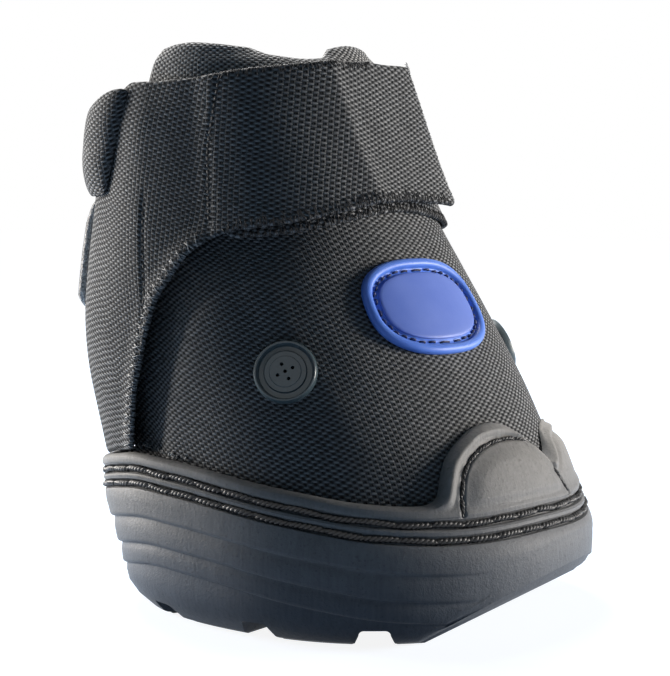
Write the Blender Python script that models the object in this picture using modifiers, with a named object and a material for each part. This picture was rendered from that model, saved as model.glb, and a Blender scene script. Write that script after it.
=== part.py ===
"""Horse hoof boot: a moulded rubber shell with a padded fabric upper that opens at the heel.

Units are metres. The toe points to -Y, +Z is up, and the tread stands on z = 0.
Angles around the boot are measured from the toe, positive towards +X.
A "lift" is a distance along the outward normal of the upper's outer face.
"""

import math

import bmesh
import bpy
import numpy as np
from mathutils import Matrix, Vector

# Clearance
GAP = 0.0003
CUT_OVERRUN = 0.004
MERGE = 0.00001

# Widths: the upper stands inside the shell
SHELL_HALF_WIDTH = 0.0795
SHELL_WALL = 0.0059
SHELL_LEAST_WALL = 0.0031

# Upper: the outer face of the front panel
UPPER_HEIGHT = 0.192
UPPER_LEAN = 0.0404
UPPER_HALF_WIDTH = SHELL_HALF_WIDTH - SHELL_WALL
UPPER_SECTION_SHARES = (
    # height, set-back of the middle, half width, reach to the rear over half width
    (0.052, -0.285, 0.978, 1.030),
    (0.125, -0.243, 0.995, 1.030),
    (0.188, -0.178, 1.000, 1.030),
    (0.271, -0.059, 0.995, 1.030),
    (0.344, 0.084, 0.981, 1.030),
    (0.427, 0.267, 0.957, 1.025),
    (0.521, 0.460, 0.916, 1.000),
    (0.615, 0.624, 0.855, 0.970),
    (0.698, 0.738, 0.791, 0.955),
    (0.781, 0.822, 0.739, 0.945),
    (0.875, 0.901, 0.693, 0.945),
    (0.938, 0.950, 0.660, 0.945),
    (1.000, 1.000, 0.622, 0.945),
)

# Shell: the outer face of the rubber
SHELL_HEIGHT = 0.052
SHELL_SETBACK = 0.0200
SHELL_SECTION_SHARES = (
    # height, set-back of the middle, half width, reach to the rear over half width
    (0.000, -0.800, 0.888, 1.030),
    (0.154, -0.690, 0.958, 1.030),
    (0.346, -0.645, 0.982, 1.030),
    (0.538, -0.555, 1.000, 1.030),
    (0.769, -0.320, 0.996, 1.030),
    (1.000, -0.150, 0.976, 1.030),
    (1.269, 0.200, 0.964, 1.030),
)

# Plan shape that all sections share
FRONT_SQUARENESS = 2.2
REAR_SQUARENESS = 2.5
CENTRE_SHIFT = -0.0012
NORMAL_STEP = 0.0005
NORMAL_TURN = 0.5

# Shell rim
RIM_FRONT_HEIGHT = 0.0439
RIM_QUARTER_RISE = 0.0120
RIM_HEEL_RISE = 0.0056
RIM_RISE_SHARES = (
    # angle from the toe in degrees, share of the quarter's rise, share of the heel's rise
    (0, 0.00, 0.0),
    (34, 0.00, 0.0),
    (50, 0.17, 0.0),
    (61, 0.38, 0.0),
    (73, 0.59, 0.0),
    (87, 0.83, 0.0),
    (100, 0.96, 0.0),
    (111, 1.00, 0.0),
    (122, 0.80, 0.1),
    (134, 0.42, 0.4),
    (150, 0.10, 0.8),
    (180, 0.00, 1.0),
)
RIM_CREST = 0.0012
RIM_TOP_SHARES = (0.3, 0.7)
BEAD_HEIGHT = 0.0036
GROOVE_HEIGHT = 0.0028
GROOVE_DEPTH = 0.0016
RIDGE_HEIGHT = 0.0020

# Toe cap
CAP_RISE = 0.0212
CAP_HALF_TURN = 28.4
CAP_SQUARENESS = 2.6
CAP_BORDER = 0.0052
CAP_FINE_TURN = 36.0
CAP_FINE_STEPS = 24
CAP_SEAM_POINTS = 41

# Shell side bands
BAND_DROPS = (0.0205, 0.0293, 0.0365)
BAND_STEP = 0.0013
BAND_EDGE = 0.0004
BAND_FADE_TURN = (18.0, 46.0)
BAND_FLOOR_CLEARANCES = (0.0085, 0.0052, 0.0025)
TREAD_LIP = 0.0018
SHELL_COARSE_STEPS = 36
SHELL_EASE = 0.0006
INNER_WALL_SHARES = (0.66, 0.33, 0.00)

# Tread
BEVEL_REACH = 0.0617
BEVEL_SLOPE = 0.565
BEVEL_TURN = 11.0
BEVEL_TRIES = 40
BEVEL_STEP_SHARE = 0.4
SOLE_THICKNESS = 0.0130
SOLE_RING_SHARES = (0.94, 0.80, 0.55, 0.28)
LUG_GROOVE_TURNS = (50.0, 81.0, 114.0, 147.0, 180.0)
LUG_GROOVE_WIDTH = 0.0122
LUG_GROOVE_TAPER_SHARE = 0.84
LUG_GROOVE_DEPTH = 0.0058
LUG_GROOVE_LENGTH = 0.0260

# Insole
INSOLE_THICKNESS = 0.0050
INSOLE_EDGE_CLEARANCE = 0.0012
INSOLE_EDGE_ROUND = 0.0012
INSOLE_STEPS = 48
PANEL_FOOT_CLEARANCE = 0.0012

# Badge, and the strap's place over it
BADGE_TURN = -5.5
BADGE_HEIGHT = 0.1045
BADGE_HALF_LENGTH = 0.0272
BADGE_HALF_HEIGHT = 0.0182
BADGE_STRAP_GAP = 0.0066
STRAP_WIDTH = 0.0512
STRAP_LOW = BADGE_HEIGHT + BADGE_HALF_HEIGHT + BADGE_STRAP_GAP
STRAP_HIGH = STRAP_LOW + STRAP_WIDTH

# Front panel and its padding
FABRIC = 0.0014
LINING = 0.0034
PANEL_DROP = 0.0305
PANEL_TOP = STRAP_HIGH - PANEL_DROP
PANEL_TURN = 122.0
PANEL_COLUMNS = 30
PANEL_ROWS = 12
LINING_COLUMNS = 24
LINING_ROWS = 9
LINING_EASE = 0.0004

# Tongue collar
TONGUE_THICKNESS = 0.0100
TONGUE_RISE = 0.0123
TONGUE_TOP = STRAP_HIGH + TONGUE_RISE
TONGUE_WAVE = 0.0015
TONGUE_WAVE_TURN = 76.0
TONGUE_TURN = 101.0
TONGUE_END_DROP = 0.0080
TONGUE_END_TURN = 10.0
TONGUE_COLUMNS = 20
TONGUE_ROWS = 3

# Heel unit
HEEL_SEAM_TURN = 148.0
HEEL_DROP = 0.0045
HEEL_TOP = STRAP_HIGH - HEEL_DROP
HEEL_FOOT_RISE = 0.0010
HEEL_COLUMNS = 9
HEEL_ROWS = 8
WING_ROWS = 14
WING_EASE = 0.0002
FOOT_ROWS = 3
HEEL_LINING_COLUMNS = 16
HEEL_LINING_GAP_TURN = 2.6
WING_FABRIC = 0.0018
WING_SPLIT_TURN = 90.0
WING_COLUMNS = 9
WING_EDGE_SHARES = (
    # angle from the toe in degrees, share of the climb from the wing's foot to the strap
    (60, 1.000),
    (65, 0.985),
    (71, 0.955),
    (78, 0.880),
    (84, 0.780),
    (90, 0.680),
    (95, 0.550),
    (100, 0.410),
    (106, 0.225),
    (112, 0.000),
)

# Heel collar
HEEL_COLLAR_THICKNESS = 0.0056
HEEL_COLLAR_WIDTH = 0.0400
HEEL_COLLAR_HIGH = STRAP_HIGH
HEEL_COLLAR_LOW = HEEL_COLLAR_HIGH - HEEL_COLLAR_WIDTH
HEEL_COLLAR_LOW_TURN = 115.0
HEEL_COLLAR_HIGH_TURN = 102.0
HEEL_COLLAR_COLUMNS = 14
HEEL_COLLAR_ROWS = 3
HEEL_COLLAR_EASE = 0.0008

# Strap and flap
STRAP_LOW_RISE = 0.0078
STRAP_HIGH_RISE = 0.0050
STRAP_END_TURN = 28.0
STRAP_RISE_TURN = (-80.0, -67.0)
STRAP_SPREAD = 0.0024
STRAP_SPREAD_TURN = 24.0
STRAP_COLUMNS = 20
STRAP_ROWS = 6
STRAP_CORNER = 0.0034
STRAP_RADIUS = 0.0500
FLAP_END_TURN = -66.0
FLAP_LOW_DROP = 0.0014
FLAP_COLUMNS = 24
SPLIT_GAP_TURN = 0.35
PATCH_THICKNESS = 0.0010
PATCH_INSET = 0.0060
HOOK_TURNS = (-34.0, 21.0)
LOOP_TURNS = (-56.0, 24.0)
PATCH_COLUMNS = 14
PATCH_ROWS = 5

# Pull tab
TAB_THICKNESS = 0.0042
TAB_TURN = 141.0
TAB_DROP = 0.0015
TAB_TOP = HEEL_COLLAR_LOW - TAB_DROP
TAB_LENGTH = 0.0385
TAB_COLUMNS = 12
TAB_ROWS = 4
TAB_CORNER = 0.0080

# Vents
VENT_TURN = 56.0
VENT_HEIGHT = 0.0854
VENT_RADIUS = 0.0105
VENT_BASE = 0.0010
VENT_RING = 0.0026
VENT_RING_WIDTH = 0.0022
VENT_RING_ROUND = 0.0005
VENT_DISC_RADIUS = 0.0070
VENT_DISC = 0.0020
STEM_RADIUS = 0.0046
STEM_WALL = 0.0010
HOLE_CLEARANCE = 0.0004
PINHOLE_RADIUS = 0.0009
PINHOLE_CIRCLE = 0.0024
PINHOLES_ROUND = 4
WASHER_RADIUS = 0.0080
WASHER_THICKNESS = 0.0012
CURVE_CLEARANCE = 0.0009
TURNED_STEPS = 20

# Badge's form
BADGE_SQUARENESS = 2.6
BADGE_BACK = 0.0004
BADGE_PANEL = 0.0018
BADGE_BORDER = 0.0028
BADGE_GROOVE = 0.0008
BADGE_EDGE = 0.0012
BADGE_BORDER_WIDTH = 0.0034
BADGE_BORDER_ROUND = 0.0010
BADGE_GROOVE_WIDTH = 0.0020
BADGE_PANEL_ROUND = 0.0003
BADGE_STEPS = 32
BADGE_RING_SHARES = (0.75, 0.50, 0.25)

# Threads
THREAD_RADIUS = 0.0005
THREAD_CROWN = 0.0004
RIM_STITCHES = 42
BADGE_STITCHES = 22
THREAD_SIDES_LEVEL = 0

# Colours
RUBBER_COLOUR = (0.045, 0.045, 0.047, 1.0)
FABRIC_COLOUR = (0.016, 0.017, 0.019, 1.0)
LINING_COLOUR = (0.022, 0.022, 0.024, 1.0)
THREAD_COLOUR = (0.012, 0.012, 0.013, 1.0)
PATCH_COLOUR = (0.010, 0.010, 0.011, 1.0)
FOAM_COLOUR = (0.050, 0.050, 0.055, 1.0)
BADGE_COLOUR = (0.045, 0.130, 0.620, 1.0)
CAP_COLOUR = (0.040, 0.041, 0.043, 1.0)

PARTS = "horse_hoof_boot"
CUTTERS = "horse_hoof_boot_cutters"


def clear_scene():
    for obj in list(bpy.data.objects):
        bpy.data.objects.remove(obj, do_unlink=True)


def make_collection(name):
    collection = bpy.data.collections.new(name)
    bpy.context.scene.collection.children.link(collection)
    return collection


def make_material(name, colour, roughness):
    material = bpy.data.materials.new(name)
    material.use_nodes = True
    shader = material.node_tree.nodes["Principled BSDF"]
    shader.inputs["Base Color"].default_value = colour
    shader.inputs["Roughness"].default_value = roughness
    shader.inputs["Metallic"].default_value = 0.0
    material.diffuse_color = colour
    return material


def smooth_between(x, table_x, table_y):
    """A smooth cubic curve through the table's points."""
    xs = np.asarray(table_x, float)
    ys = np.asarray(table_y, float)
    step = np.diff(xs)
    slope = np.diff(ys) / step
    tangent = np.concatenate((slope[:1], slope))
    tangent[1:-1] = (step[1:] * slope[:-1] + step[:-1] * slope[1:]) / (step[1:] + step[:-1])
    x = float(np.clip(x, xs[0], xs[-1]))
    i = int(np.clip(np.searchsorted(xs, x) - 1, 0, len(step) - 1))
    u = (x - xs[i]) / step[i]
    start = (1 + 2 * u) * (1 - u) ** 2 * ys[i] + u * (1 - u) ** 2 * step[i] * tangent[i]
    end = u * u * (3 - 2 * u) * ys[i + 1] + u * u * (u - 1) * step[i] * tangent[i + 1]
    return float(start + end)


def ease(x, start, end):
    """0 before start, 1 after end, smooth between."""
    u = min(max((x - start) / (end - start), 0.0), 1.0)
    return u * u * (3 - 2 * u)


def plan_point(turn, middle, half_width, rear_reach):
    """A point of one level section: an oval that is squarer at the back than at the front."""
    angle = math.radians(turn)
    forward = math.cos(angle)
    if forward > 0:
        reach = half_width
        power = FRONT_SQUARENESS
    else:
        reach = rear_reach
        power = REAR_SQUARENESS
    across = (abs(math.sin(angle)) / half_width) ** power
    along = (abs(forward) / reach) ** power
    radius = (across + along) ** (-1 / power)
    return radius * math.sin(angle), CENTRE_SHIFT + middle - radius * forward


def section_point(turn, height, shares, full_height, full_setback, full_width):
    share = height / full_height
    heights = [row[0] for row in shares]
    middle = full_setback * smooth_between(share, heights, [row[1] for row in shares])
    half_width = full_width * smooth_between(share, heights, [row[2] for row in shares])
    rear_reach = half_width * smooth_between(share, heights, [row[3] for row in shares])
    x, y = plan_point(turn, middle, half_width, rear_reach)
    return Vector((x, y, height))


def upper_face(turn, height):
    return section_point(
        turn, height, UPPER_SECTION_SHARES, UPPER_HEIGHT, UPPER_LEAN, UPPER_HALF_WIDTH
    )


def shell_face(turn, height):
    """The shell's section, kept outside the upper by the least wall above the sole."""
    face = section_point(
        turn, height, SHELL_SECTION_SHARES, SHELL_HEIGHT, SHELL_SETBACK, SHELL_HALF_WIDTH
    )
    inner = upper_face(turn, height)
    away = Vector((inner.x, inner.y - CENTRE_SHIFT, 0)).normalized()
    wall = (face - inner).dot(away)
    least = SHELL_LEAST_WALL - max(SOLE_THICKNESS - height, 0)
    return face + max(least - wall, 0) * away


def outward(face, turn, height):
    """The unit normal of a face that is given as face(turn, height)."""
    around = face(turn + NORMAL_TURN, height) - face(turn - NORMAL_TURN, height)
    up = face(turn, height + NORMAL_STEP) - face(turn, height - NORMAL_STEP)
    return around.cross(up).normalized()


def boot_point(turn, height, lift):
    return upper_face(turn, height) + lift * outward(upper_face, turn, height)


def shell_point(turn, height, inset):
    return shell_face(turn, height) - inset * outward(shell_face, turn, height)


def side_rim(turn):
    """Height of the shell's rim, without the toe cap."""
    turn = abs((turn + 180) % 360 - 180)
    turns = [row[0] for row in RIM_RISE_SHARES]
    quarter = smooth_between(turn, turns, [row[1] for row in RIM_RISE_SHARES])
    heel = smooth_between(turn, turns, [row[2] for row in RIM_RISE_SHARES])
    return RIM_FRONT_HEIGHT + RIM_QUARTER_RISE * quarter + RIM_HEEL_RISE * heel


def cap_rise(turn, rise, half_turn):
    """Height of the toe cap's outline over the rim."""
    share = abs(turn) / half_turn
    if share >= 1:
        return 0.0
    return rise * (1 - share ** CAP_SQUARENESS) ** (1 / CAP_SQUARENESS)


def rim_height(turn):
    turn = (turn + 180) % 360 - 180
    return side_rim(turn) + cap_rise(turn, CAP_RISE, CAP_HALF_TURN)


def shell_turns():
    """Angles of the shell's columns: close together at the toe cap, wider elsewhere."""
    fine = np.linspace(-CAP_FINE_TURN, CAP_FINE_TURN, CAP_FINE_STEPS + 1)
    coarse = np.linspace(CAP_FINE_TURN, 360 - CAP_FINE_TURN, SHELL_COARSE_STEPS + 1)
    return fine.tolist() + coarse[1:-1].tolist()


def bevel_height(x, y):
    """Height of the tread's underside: level, then a flat bevel that rises past the toe."""
    angle = math.radians(BEVEL_TURN)
    forward = x * math.sin(angle) + (CENTRE_SHIFT - y) * math.cos(angle)
    return max(0.0, (forward - BEVEL_REACH) * BEVEL_SLOPE)


def tread_height(turn):
    """Where the shell's side meets the underside, found in small steps."""
    height = 0.0
    for _ in range(BEVEL_TRIES):
        edge = shell_face(turn, height)
        height += BEVEL_STEP_SHARE * (bevel_height(edge.x, edge.y) - height)
    return height


def band_fade(turn):
    turn = abs((turn + 180) % 360 - 180)
    return ease(turn, BAND_FADE_TURN[0], BAND_FADE_TURN[1])


def band_heights(turn):
    """Heights of the side's three steps, top one first."""
    rim = side_rim(turn)
    floor = tread_height(turn)
    return [
        max(rim - drop, floor + clearance)
        for drop, clearance in zip(BAND_DROPS, BAND_FLOOR_CLEARANCES)
    ]


def shell_side_stations(turn):
    """Heights and insets up the shell's outer face, from the tread to the rim."""
    step = BAND_STEP * band_fade(turn)
    floor = tread_height(turn)
    stations = [(floor, 0.0), (floor + TREAD_LIP, 0.0)]
    for height in reversed(band_heights(turn)):
        stations.append((height - BAND_EDGE, step))
        stations.append((height, 0.0))
    rim = side_rim(turn)
    lower_top = rim - BEAD_HEIGHT - GROOVE_HEIGHT - RIDGE_HEIGHT
    lower_bottom = lower_top - GROOVE_HEIGHT
    bulge = (stations[-1][0] + lower_bottom) / 2
    stations.append((bulge, 0.0))
    for bottom in (lower_bottom, rim - BEAD_HEIGHT - GROOVE_HEIGHT):
        top = bottom + GROOVE_HEIGHT
        stations.append((bottom, 0.0))
        stations.append((bottom + BAND_EDGE, GROOVE_DEPTH))
        stations.append((top - BAND_EDGE, GROOVE_DEPTH))
        stations.append((top, 0.0))
    crest = rim_height(turn) - RIM_CREST
    bead_bottom = rim - BEAD_HEIGHT
    stations.append((bead_bottom + (crest - bead_bottom) / 2, 0.0))
    stations.append((crest, 0.0))
    return stations


def shell_column(turn):
    """One column of the shell: up the outer face, over the rim and down the inner face."""
    column = [shell_point(turn, height, inset) for height, inset in shell_side_stations(turn)]
    rim = rim_height(turn)
    outer_top = shell_face(turn, rim)
    inner_top = boot_point(turn, rim, GAP)
    column += [outer_top.lerp(inner_top, share) for share in RIM_TOP_SHARES]
    top = rim - RIM_CREST
    column.append(boot_point(turn, top, GAP))
    for share in INNER_WALL_SHARES:
        height = SOLE_THICKNESS + (top - SOLE_THICKNESS) * share
        column.append(boot_point(turn, height, GAP + SHELL_EASE))
    return column


def sole_rings(turn):
    """The underside, from the tread's edge inwards."""
    edge = shell_point(turn, tread_height(turn), 0.0)
    rings = []
    for share in SOLE_RING_SHARES:
        x = edge.x * share
        y = edge.y * share
        rings.append(Vector((x, y, bevel_height(x, y))))
    return rings


def add_mesh(name, bm, material, collection):
    mesh = bpy.data.meshes.new(name)
    bm.to_mesh(mesh)
    bm.free()
    obj = bpy.data.objects.new(name, mesh)
    obj.data.materials.append(material)
    collection.objects.link(obj)
    return obj


def loft_columns(columns):
    """A closed solid from columns of points set side by side round the boot.

    The first and last points of the columns are closed with a fan round their middle.
    """
    bm = bmesh.new()
    grid = [[bm.verts.new(point) for point in column] for column in columns]
    count = len(grid)
    for i in range(count):
        left = grid[i]
        right = grid[(i + 1) % count]
        for j in range(len(left) - 1):
            bm.faces.new((left[j], right[j], right[j + 1], left[j + 1]))
    for end in (0, -1):
        ring = [column[end] for column in grid]
        middle = sum((vert.co for vert in ring), Vector()) / count
        hub = bm.verts.new(middle)
        for i in range(count):
            bm.faces.new((ring[i], ring[(i + 1) % count], hub))
    bmesh.ops.recalc_face_normals(bm, faces=bm.faces)
    return bm


def smooth(obj, sharp_turn=40.0):
    obj.data.shade_smooth()
    obj.data.set_sharp_from_angle(angle=math.radians(sharp_turn))


def cut(obj, cutters):
    for cutter in cutters:
        modifier = obj.modifiers.new(cutter.name, "BOOLEAN")
        modifier.operation = "DIFFERENCE"
        modifier.object = cutter
        modifier.solver = "EXACT"


def hide_cutter(obj):
    obj.hide_render = True
    obj.display_type = "WIRE"


def wrapped_sheet(name, columns, rows, place, thickness, material, collection):
    """A flat grid laid on the boot by place(u, v), thickened outwards."""
    bm = bmesh.new()
    bmesh.ops.create_grid(bm, x_segments=columns, y_segments=rows, size=1)
    for vert in bm.verts:
        vert.co = place((vert.co.x + 1) / 2, (vert.co.y + 1) / 2)
    obj = add_mesh(name, bm, material, collection)
    solidify = obj.modifiers.new("Thickness", "SOLIDIFY")
    solidify.thickness = thickness
    solidify.offset = 1.0
    solidify.use_even_offset = True
    smooth(obj)
    return obj


def soften(obj, level=1):
    modifier = obj.modifiers.new("Soft form", "SUBSURF")
    modifier.levels = level
    modifier.render_levels = level


def band_place(turns, low, high, lift):
    """Places a sheet between two heights that depend on the angle."""
    def place(u, v):
        turn = turns[0] + (turns[1] - turns[0]) * u
        height = low(turn) + (high(turn) - low(turn)) * v
        return boot_point(turn, height, lift(turn))
    return place


def constant(value):
    return lambda turn: value


def surface_matrix(turn, height, lift):
    """A frame on the upper: +Z outwards, +X round the boot, +Y up the face."""
    normal = outward(upper_face, turn, height)
    around = Vector((0, 0, 1)).cross(normal).normalized()
    up = normal.cross(around)
    matrix = Matrix((around, up, normal)).transposed().to_4x4()
    matrix.translation = boot_point(turn, height, lift)
    return matrix


def thread(name, points, closed, material, collection):
    curve = bpy.data.curves.new(name, "CURVE")
    curve.dimensions = "3D"
    curve.bevel_depth = THREAD_RADIUS
    curve.bevel_resolution = THREAD_SIDES_LEVEL
    curve.use_fill_caps = True
    spline = curve.splines.new("POLY")
    spline.points.add(len(points) - 1)
    for point, place in zip(spline.points, points):
        point.co = (*place, 1.0)
    spline.use_cyclic_u = closed
    obj = bpy.data.objects.new(name, curve)
    obj.data.materials.append(material)
    collection.objects.link(obj)
    return obj


def lug_cutter(turn, collection):
    """A tapered bar that cuts one gap between two tread lugs."""
    bm = bmesh.new()
    bmesh.ops.create_cube(bm, size=1)
    length = LUG_GROOVE_LENGTH + CUT_OVERRUN
    for vert in bm.verts:
        top = vert.co.z > 0
        width = LUG_GROOVE_WIDTH * (LUG_GROOVE_TAPER_SHARE if top else 1)
        height = LUG_GROOVE_DEPTH if top else -CUT_OVERRUN
        inner = vert.co.y > 0
        reach = -CUT_OVERRUN
        if inner:
            reach = LUG_GROOVE_LENGTH - (LUG_GROOVE_DEPTH if top else 0)
        vert.co = Vector((vert.co.x * width, reach, height))
    edge = shell_face(turn, LUG_GROOVE_DEPTH)
    middle = Vector((0, CENTRE_SHIFT - SHELL_SETBACK, 0))
    inward = middle - Vector((edge.x, edge.y, 0))
    side = Vector((0, 0, 1)).cross(inward).normalized() * -1
    frame = Matrix((side, inward.normalized(), Vector((0, 0, 1)))).transposed().to_4x4()
    frame.translation = Vector((edge.x, edge.y, 0))
    name = f"lug_gap_{round(turn)}"
    cutter = add_mesh(name, bm, bpy.data.materials["rubber"], collection)
    cutter.matrix_world = frame
    hide_cutter(cutter)
    return cutter


def build_shell(parts, cutters, rubber):
    columns = []
    for turn in shell_turns():
        underside = list(reversed(sole_rings(turn)))
        columns.append(underside + shell_column(turn))
    shell = add_mesh("sole_shell", loft_columns(columns), rubber, parts)
    smooth(shell, 28.0)
    turns = {(side * turn) % 360 for turn in LUG_GROOVE_TURNS for side in (-1, 1)}
    cut(shell, [lug_cutter(turn, cutters) for turn in sorted(turns)])
    return shell


def build_insole(parts, foam):
    """A loose pad that lies on the sole, inside the upper's padding."""
    top = SOLE_THICKNESS + GAP + INSOLE_THICKNESS
    bottom = SOLE_THICKNESS + GAP
    columns = []
    edge = lining_inner_lift() - INSOLE_EDGE_CLEARANCE
    inner = edge - INSOLE_EDGE_ROUND
    for step in range(INSOLE_STEPS):
        turn = 360 * step / INSOLE_STEPS
        low = boot_point(turn, bottom, inner)
        high = boot_point(turn, top, inner)
        low.z = bottom
        high.z = top
        side_low = boot_point(turn, bottom, edge)
        side_high = boot_point(turn, top, edge)
        side_low.z = bottom + INSOLE_EDGE_ROUND
        side_high.z = top - INSOLE_EDGE_ROUND
        columns.append([low, side_low, side_high, high])
    insole = add_mesh("insole_pad", loft_columns(columns), foam, parts)
    smooth(insole)
    return insole


def panel_low(turn):
    return SOLE_THICKNESS + PANEL_FOOT_CLEARANCE


def lining_inner_lift():
    return -FABRIC - GAP - LINING_EASE - LINING


def build_front_panel(parts, fabric, lining):
    """The outer fabric of the front and the padding behind it."""
    turns = (-PANEL_TURN, PANEL_TURN)
    panel = wrapped_sheet(
        "vamp_panel", PANEL_COLUMNS, PANEL_ROWS,
        band_place(turns, panel_low, constant(PANEL_TOP), constant(-FABRIC)),
        FABRIC, fabric, parts,
    )
    padding = wrapped_sheet(
        "vamp_lining", LINING_COLUMNS, LINING_ROWS,
        band_place(turns, panel_low, constant(PANEL_TOP), constant(lining_inner_lift())),
        LINING, lining, parts,
    )
    return panel, padding


def tongue_top(turn):
    """The tongue's top edge: a shallow wave that drops at both ends."""
    wave = TONGUE_WAVE * math.cos(2 * math.pi * turn / TONGUE_WAVE_TURN)
    near_end = ease(abs(turn), TONGUE_TURN - TONGUE_END_TURN, TONGUE_TURN)
    return TONGUE_TOP + wave - TONGUE_END_DROP * near_end


def build_tongue(parts, fabric):
    turns = (-TONGUE_TURN, TONGUE_TURN)
    low = constant(PANEL_TOP + GAP)
    lift = constant(-GAP - TONGUE_THICKNESS)
    tongue = wrapped_sheet(
        "tongue_collar", TONGUE_COLUMNS, TONGUE_ROWS,
        band_place(turns, low, tongue_top, lift),
        TONGUE_THICKNESS, fabric, parts,
    )
    soften(tongue)
    return tongue


def wing_low(turn):
    """The lower edge of a wing: on the rim at the back, then climbing to the strap."""
    turn = abs(turn)
    turns = [row[0] for row in WING_EDGE_SHARES]
    foot_turn = turns[-1]
    if turn >= foot_turn:
        return heel_low(turn)
    foot = heel_low(foot_turn)
    if turn <= turns[0]:
        rise = ease(turns[0] - turn, 0, turns[0])
        return STRAP_LOW + STRAP_LOW_RISE * rise
    share = smooth_between(turn, turns, [row[1] for row in WING_EDGE_SHARES])
    return foot + (STRAP_LOW - foot) * share


def wing_high(turn):
    """The upper edge of a wing, highest at the front."""
    return STRAP_HIGH + STRAP_HIGH_RISE * (1 - min(abs(turn), WING_SPLIT_TURN) / WING_SPLIT_TURN)


def heel_low(turn):
    return rim_height(turn) + HEEL_FOOT_RISE


def wing_outer_lift():
    return GAP + WING_EASE + WING_FABRIC


def build_heel(parts, fabric, lining):
    """The rear panel, its padding, and the foot of the panel inside the shell."""
    rear = (HEEL_SEAM_TURN + SPLIT_GAP_TURN, 360 - HEEL_SEAM_TURN - SPLIT_GAP_TURN)
    inner_turn = PANEL_TURN + HEEL_LINING_GAP_TURN
    inner = (inner_turn, 360 - inner_turn)
    panel = wrapped_sheet(
        "heel_panel", HEEL_COLUMNS, WING_ROWS,
        band_place(rear, heel_low, constant(HEEL_TOP), constant(GAP + WING_EASE)),
        WING_FABRIC, fabric, parts,
    )
    padding = wrapped_sheet(
        "heel_lining", HEEL_LINING_COLUMNS, HEEL_ROWS,
        band_place(inner, heel_low, constant(HEEL_TOP), constant(-LINING - LINING_EASE)),
        LINING, lining, parts,
    )
    foot = wrapped_sheet(
        "heel_foot", HEEL_LINING_COLUMNS, FOOT_ROWS,
        band_place(inner, panel_low, lambda turn: rim_height(turn) - GAP, constant(-LINING)),
        LINING, lining, parts,
    )
    return panel, padding, foot


def wing_turns(side):
    """From the split at the side to the seam at the heel, left to right."""
    near = WING_SPLIT_TURN + SPLIT_GAP_TURN
    if side > 0:
        return near, HEEL_SEAM_TURN
    return -HEEL_SEAM_TURN, -near


def build_wing(name, side, parts, fabric):
    def high(turn):
        share = ease(abs(turn), HEEL_COLLAR_HIGH_TURN, HEEL_COLLAR_LOW_TURN)
        return wing_high(turn) + (HEEL_TOP - wing_high(turn)) * share
    return wrapped_sheet(
        name, WING_COLUMNS, WING_ROWS,
        band_place(wing_turns(side), wing_low, high, constant(GAP + WING_EASE)),
        WING_FABRIC, fabric, parts,
    )


def build_heel_collar(parts, fabric):
    """A padded roll round the heel whose ends slant forwards to the top."""
    lift = GAP + wing_outer_lift() + HEEL_COLLAR_EASE

    def place(u, v):
        end = HEEL_COLLAR_LOW_TURN + (HEEL_COLLAR_HIGH_TURN - HEEL_COLLAR_LOW_TURN) * v
        turn = end + (360 - 2 * end) * u
        height = HEEL_COLLAR_LOW + (HEEL_COLLAR_HIGH - HEEL_COLLAR_LOW) * v
        return boot_point(turn, height, lift)

    collar = wrapped_sheet(
        "heel_collar", HEEL_COLLAR_COLUMNS, HEEL_COLLAR_ROWS, place,
        HEEL_COLLAR_THICKNESS, fabric, parts,
    )
    soften(collar)
    return collar


def flap_lift(turn):
    return GAP


def loop_lift(turn):
    return GAP + WING_FABRIC + GAP


def hook_lift(turn):
    return loop_lift(turn) + PATCH_THICKNESS + GAP


def strap_lift(turn):
    """The strap lies on the front panel at the side, then climbs over flap and patches."""
    over = hook_lift(turn) + PATCH_THICKNESS + GAP
    climb = ease(turn, STRAP_RISE_TURN[0], STRAP_RISE_TURN[1])
    spread = STRAP_SPREAD * ease(turn, STRAP_END_TURN - STRAP_SPREAD_TURN, STRAP_END_TURN)
    return GAP + (over - GAP) * climb + spread


def corner_cut(turn, end_turn, corner):
    """How far a rounded corner takes the edge back near a sheet's end."""
    distance = math.radians(abs(end_turn - turn)) * STRAP_RADIUS
    if distance >= corner:
        return 0.0
    return corner - math.sqrt(corner ** 2 - (corner - distance) ** 2)


def build_strap(parts, fabric, hook):
    """The near wing's front end, closed over the far one, and its hook patch."""
    turns = (-WING_SPLIT_TURN + SPLIT_GAP_TURN, STRAP_END_TURN)

    def low(turn):
        return wing_low(turn) + corner_cut(turn, STRAP_END_TURN, STRAP_CORNER)

    strap = wrapped_sheet(
        "strap", STRAP_COLUMNS, STRAP_ROWS,
        band_place(turns, low, wing_high, strap_lift),
        WING_FABRIC, fabric, parts,
    )
    patch = wrapped_sheet(
        "hook_patch", PATCH_COLUMNS, PATCH_ROWS,
        band_place(HOOK_TURNS, patch_low, patch_high, hook_lift),
        PATCH_THICKNESS, hook, parts,
    )
    return strap, patch


def patch_low(turn):
    return wing_low(turn) + PATCH_INSET


def patch_high(turn):
    return wing_high(turn) - PATCH_INSET


def build_flap(parts, fabric, loop):
    """The far wing's front end, under the strap, and its loop patch."""
    turns = (FLAP_END_TURN, WING_SPLIT_TURN - SPLIT_GAP_TURN)

    def low(turn):
        return wing_low(turn) - FLAP_LOW_DROP + corner_cut(turn, FLAP_END_TURN, STRAP_CORNER)

    def high(turn):
        return wing_high(turn) - corner_cut(turn, FLAP_END_TURN, STRAP_CORNER)

    flap = wrapped_sheet(
        "closure_flap", FLAP_COLUMNS, STRAP_ROWS,
        band_place(turns, low, high, flap_lift),
        WING_FABRIC, fabric, parts,
    )
    patch = wrapped_sheet(
        "loop_patch", PATCH_COLUMNS, PATCH_ROWS,
        band_place(LOOP_TURNS, patch_low, patch_high, loop_lift),
        PATCH_THICKNESS, loop, parts,
    )
    return flap, patch


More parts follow.
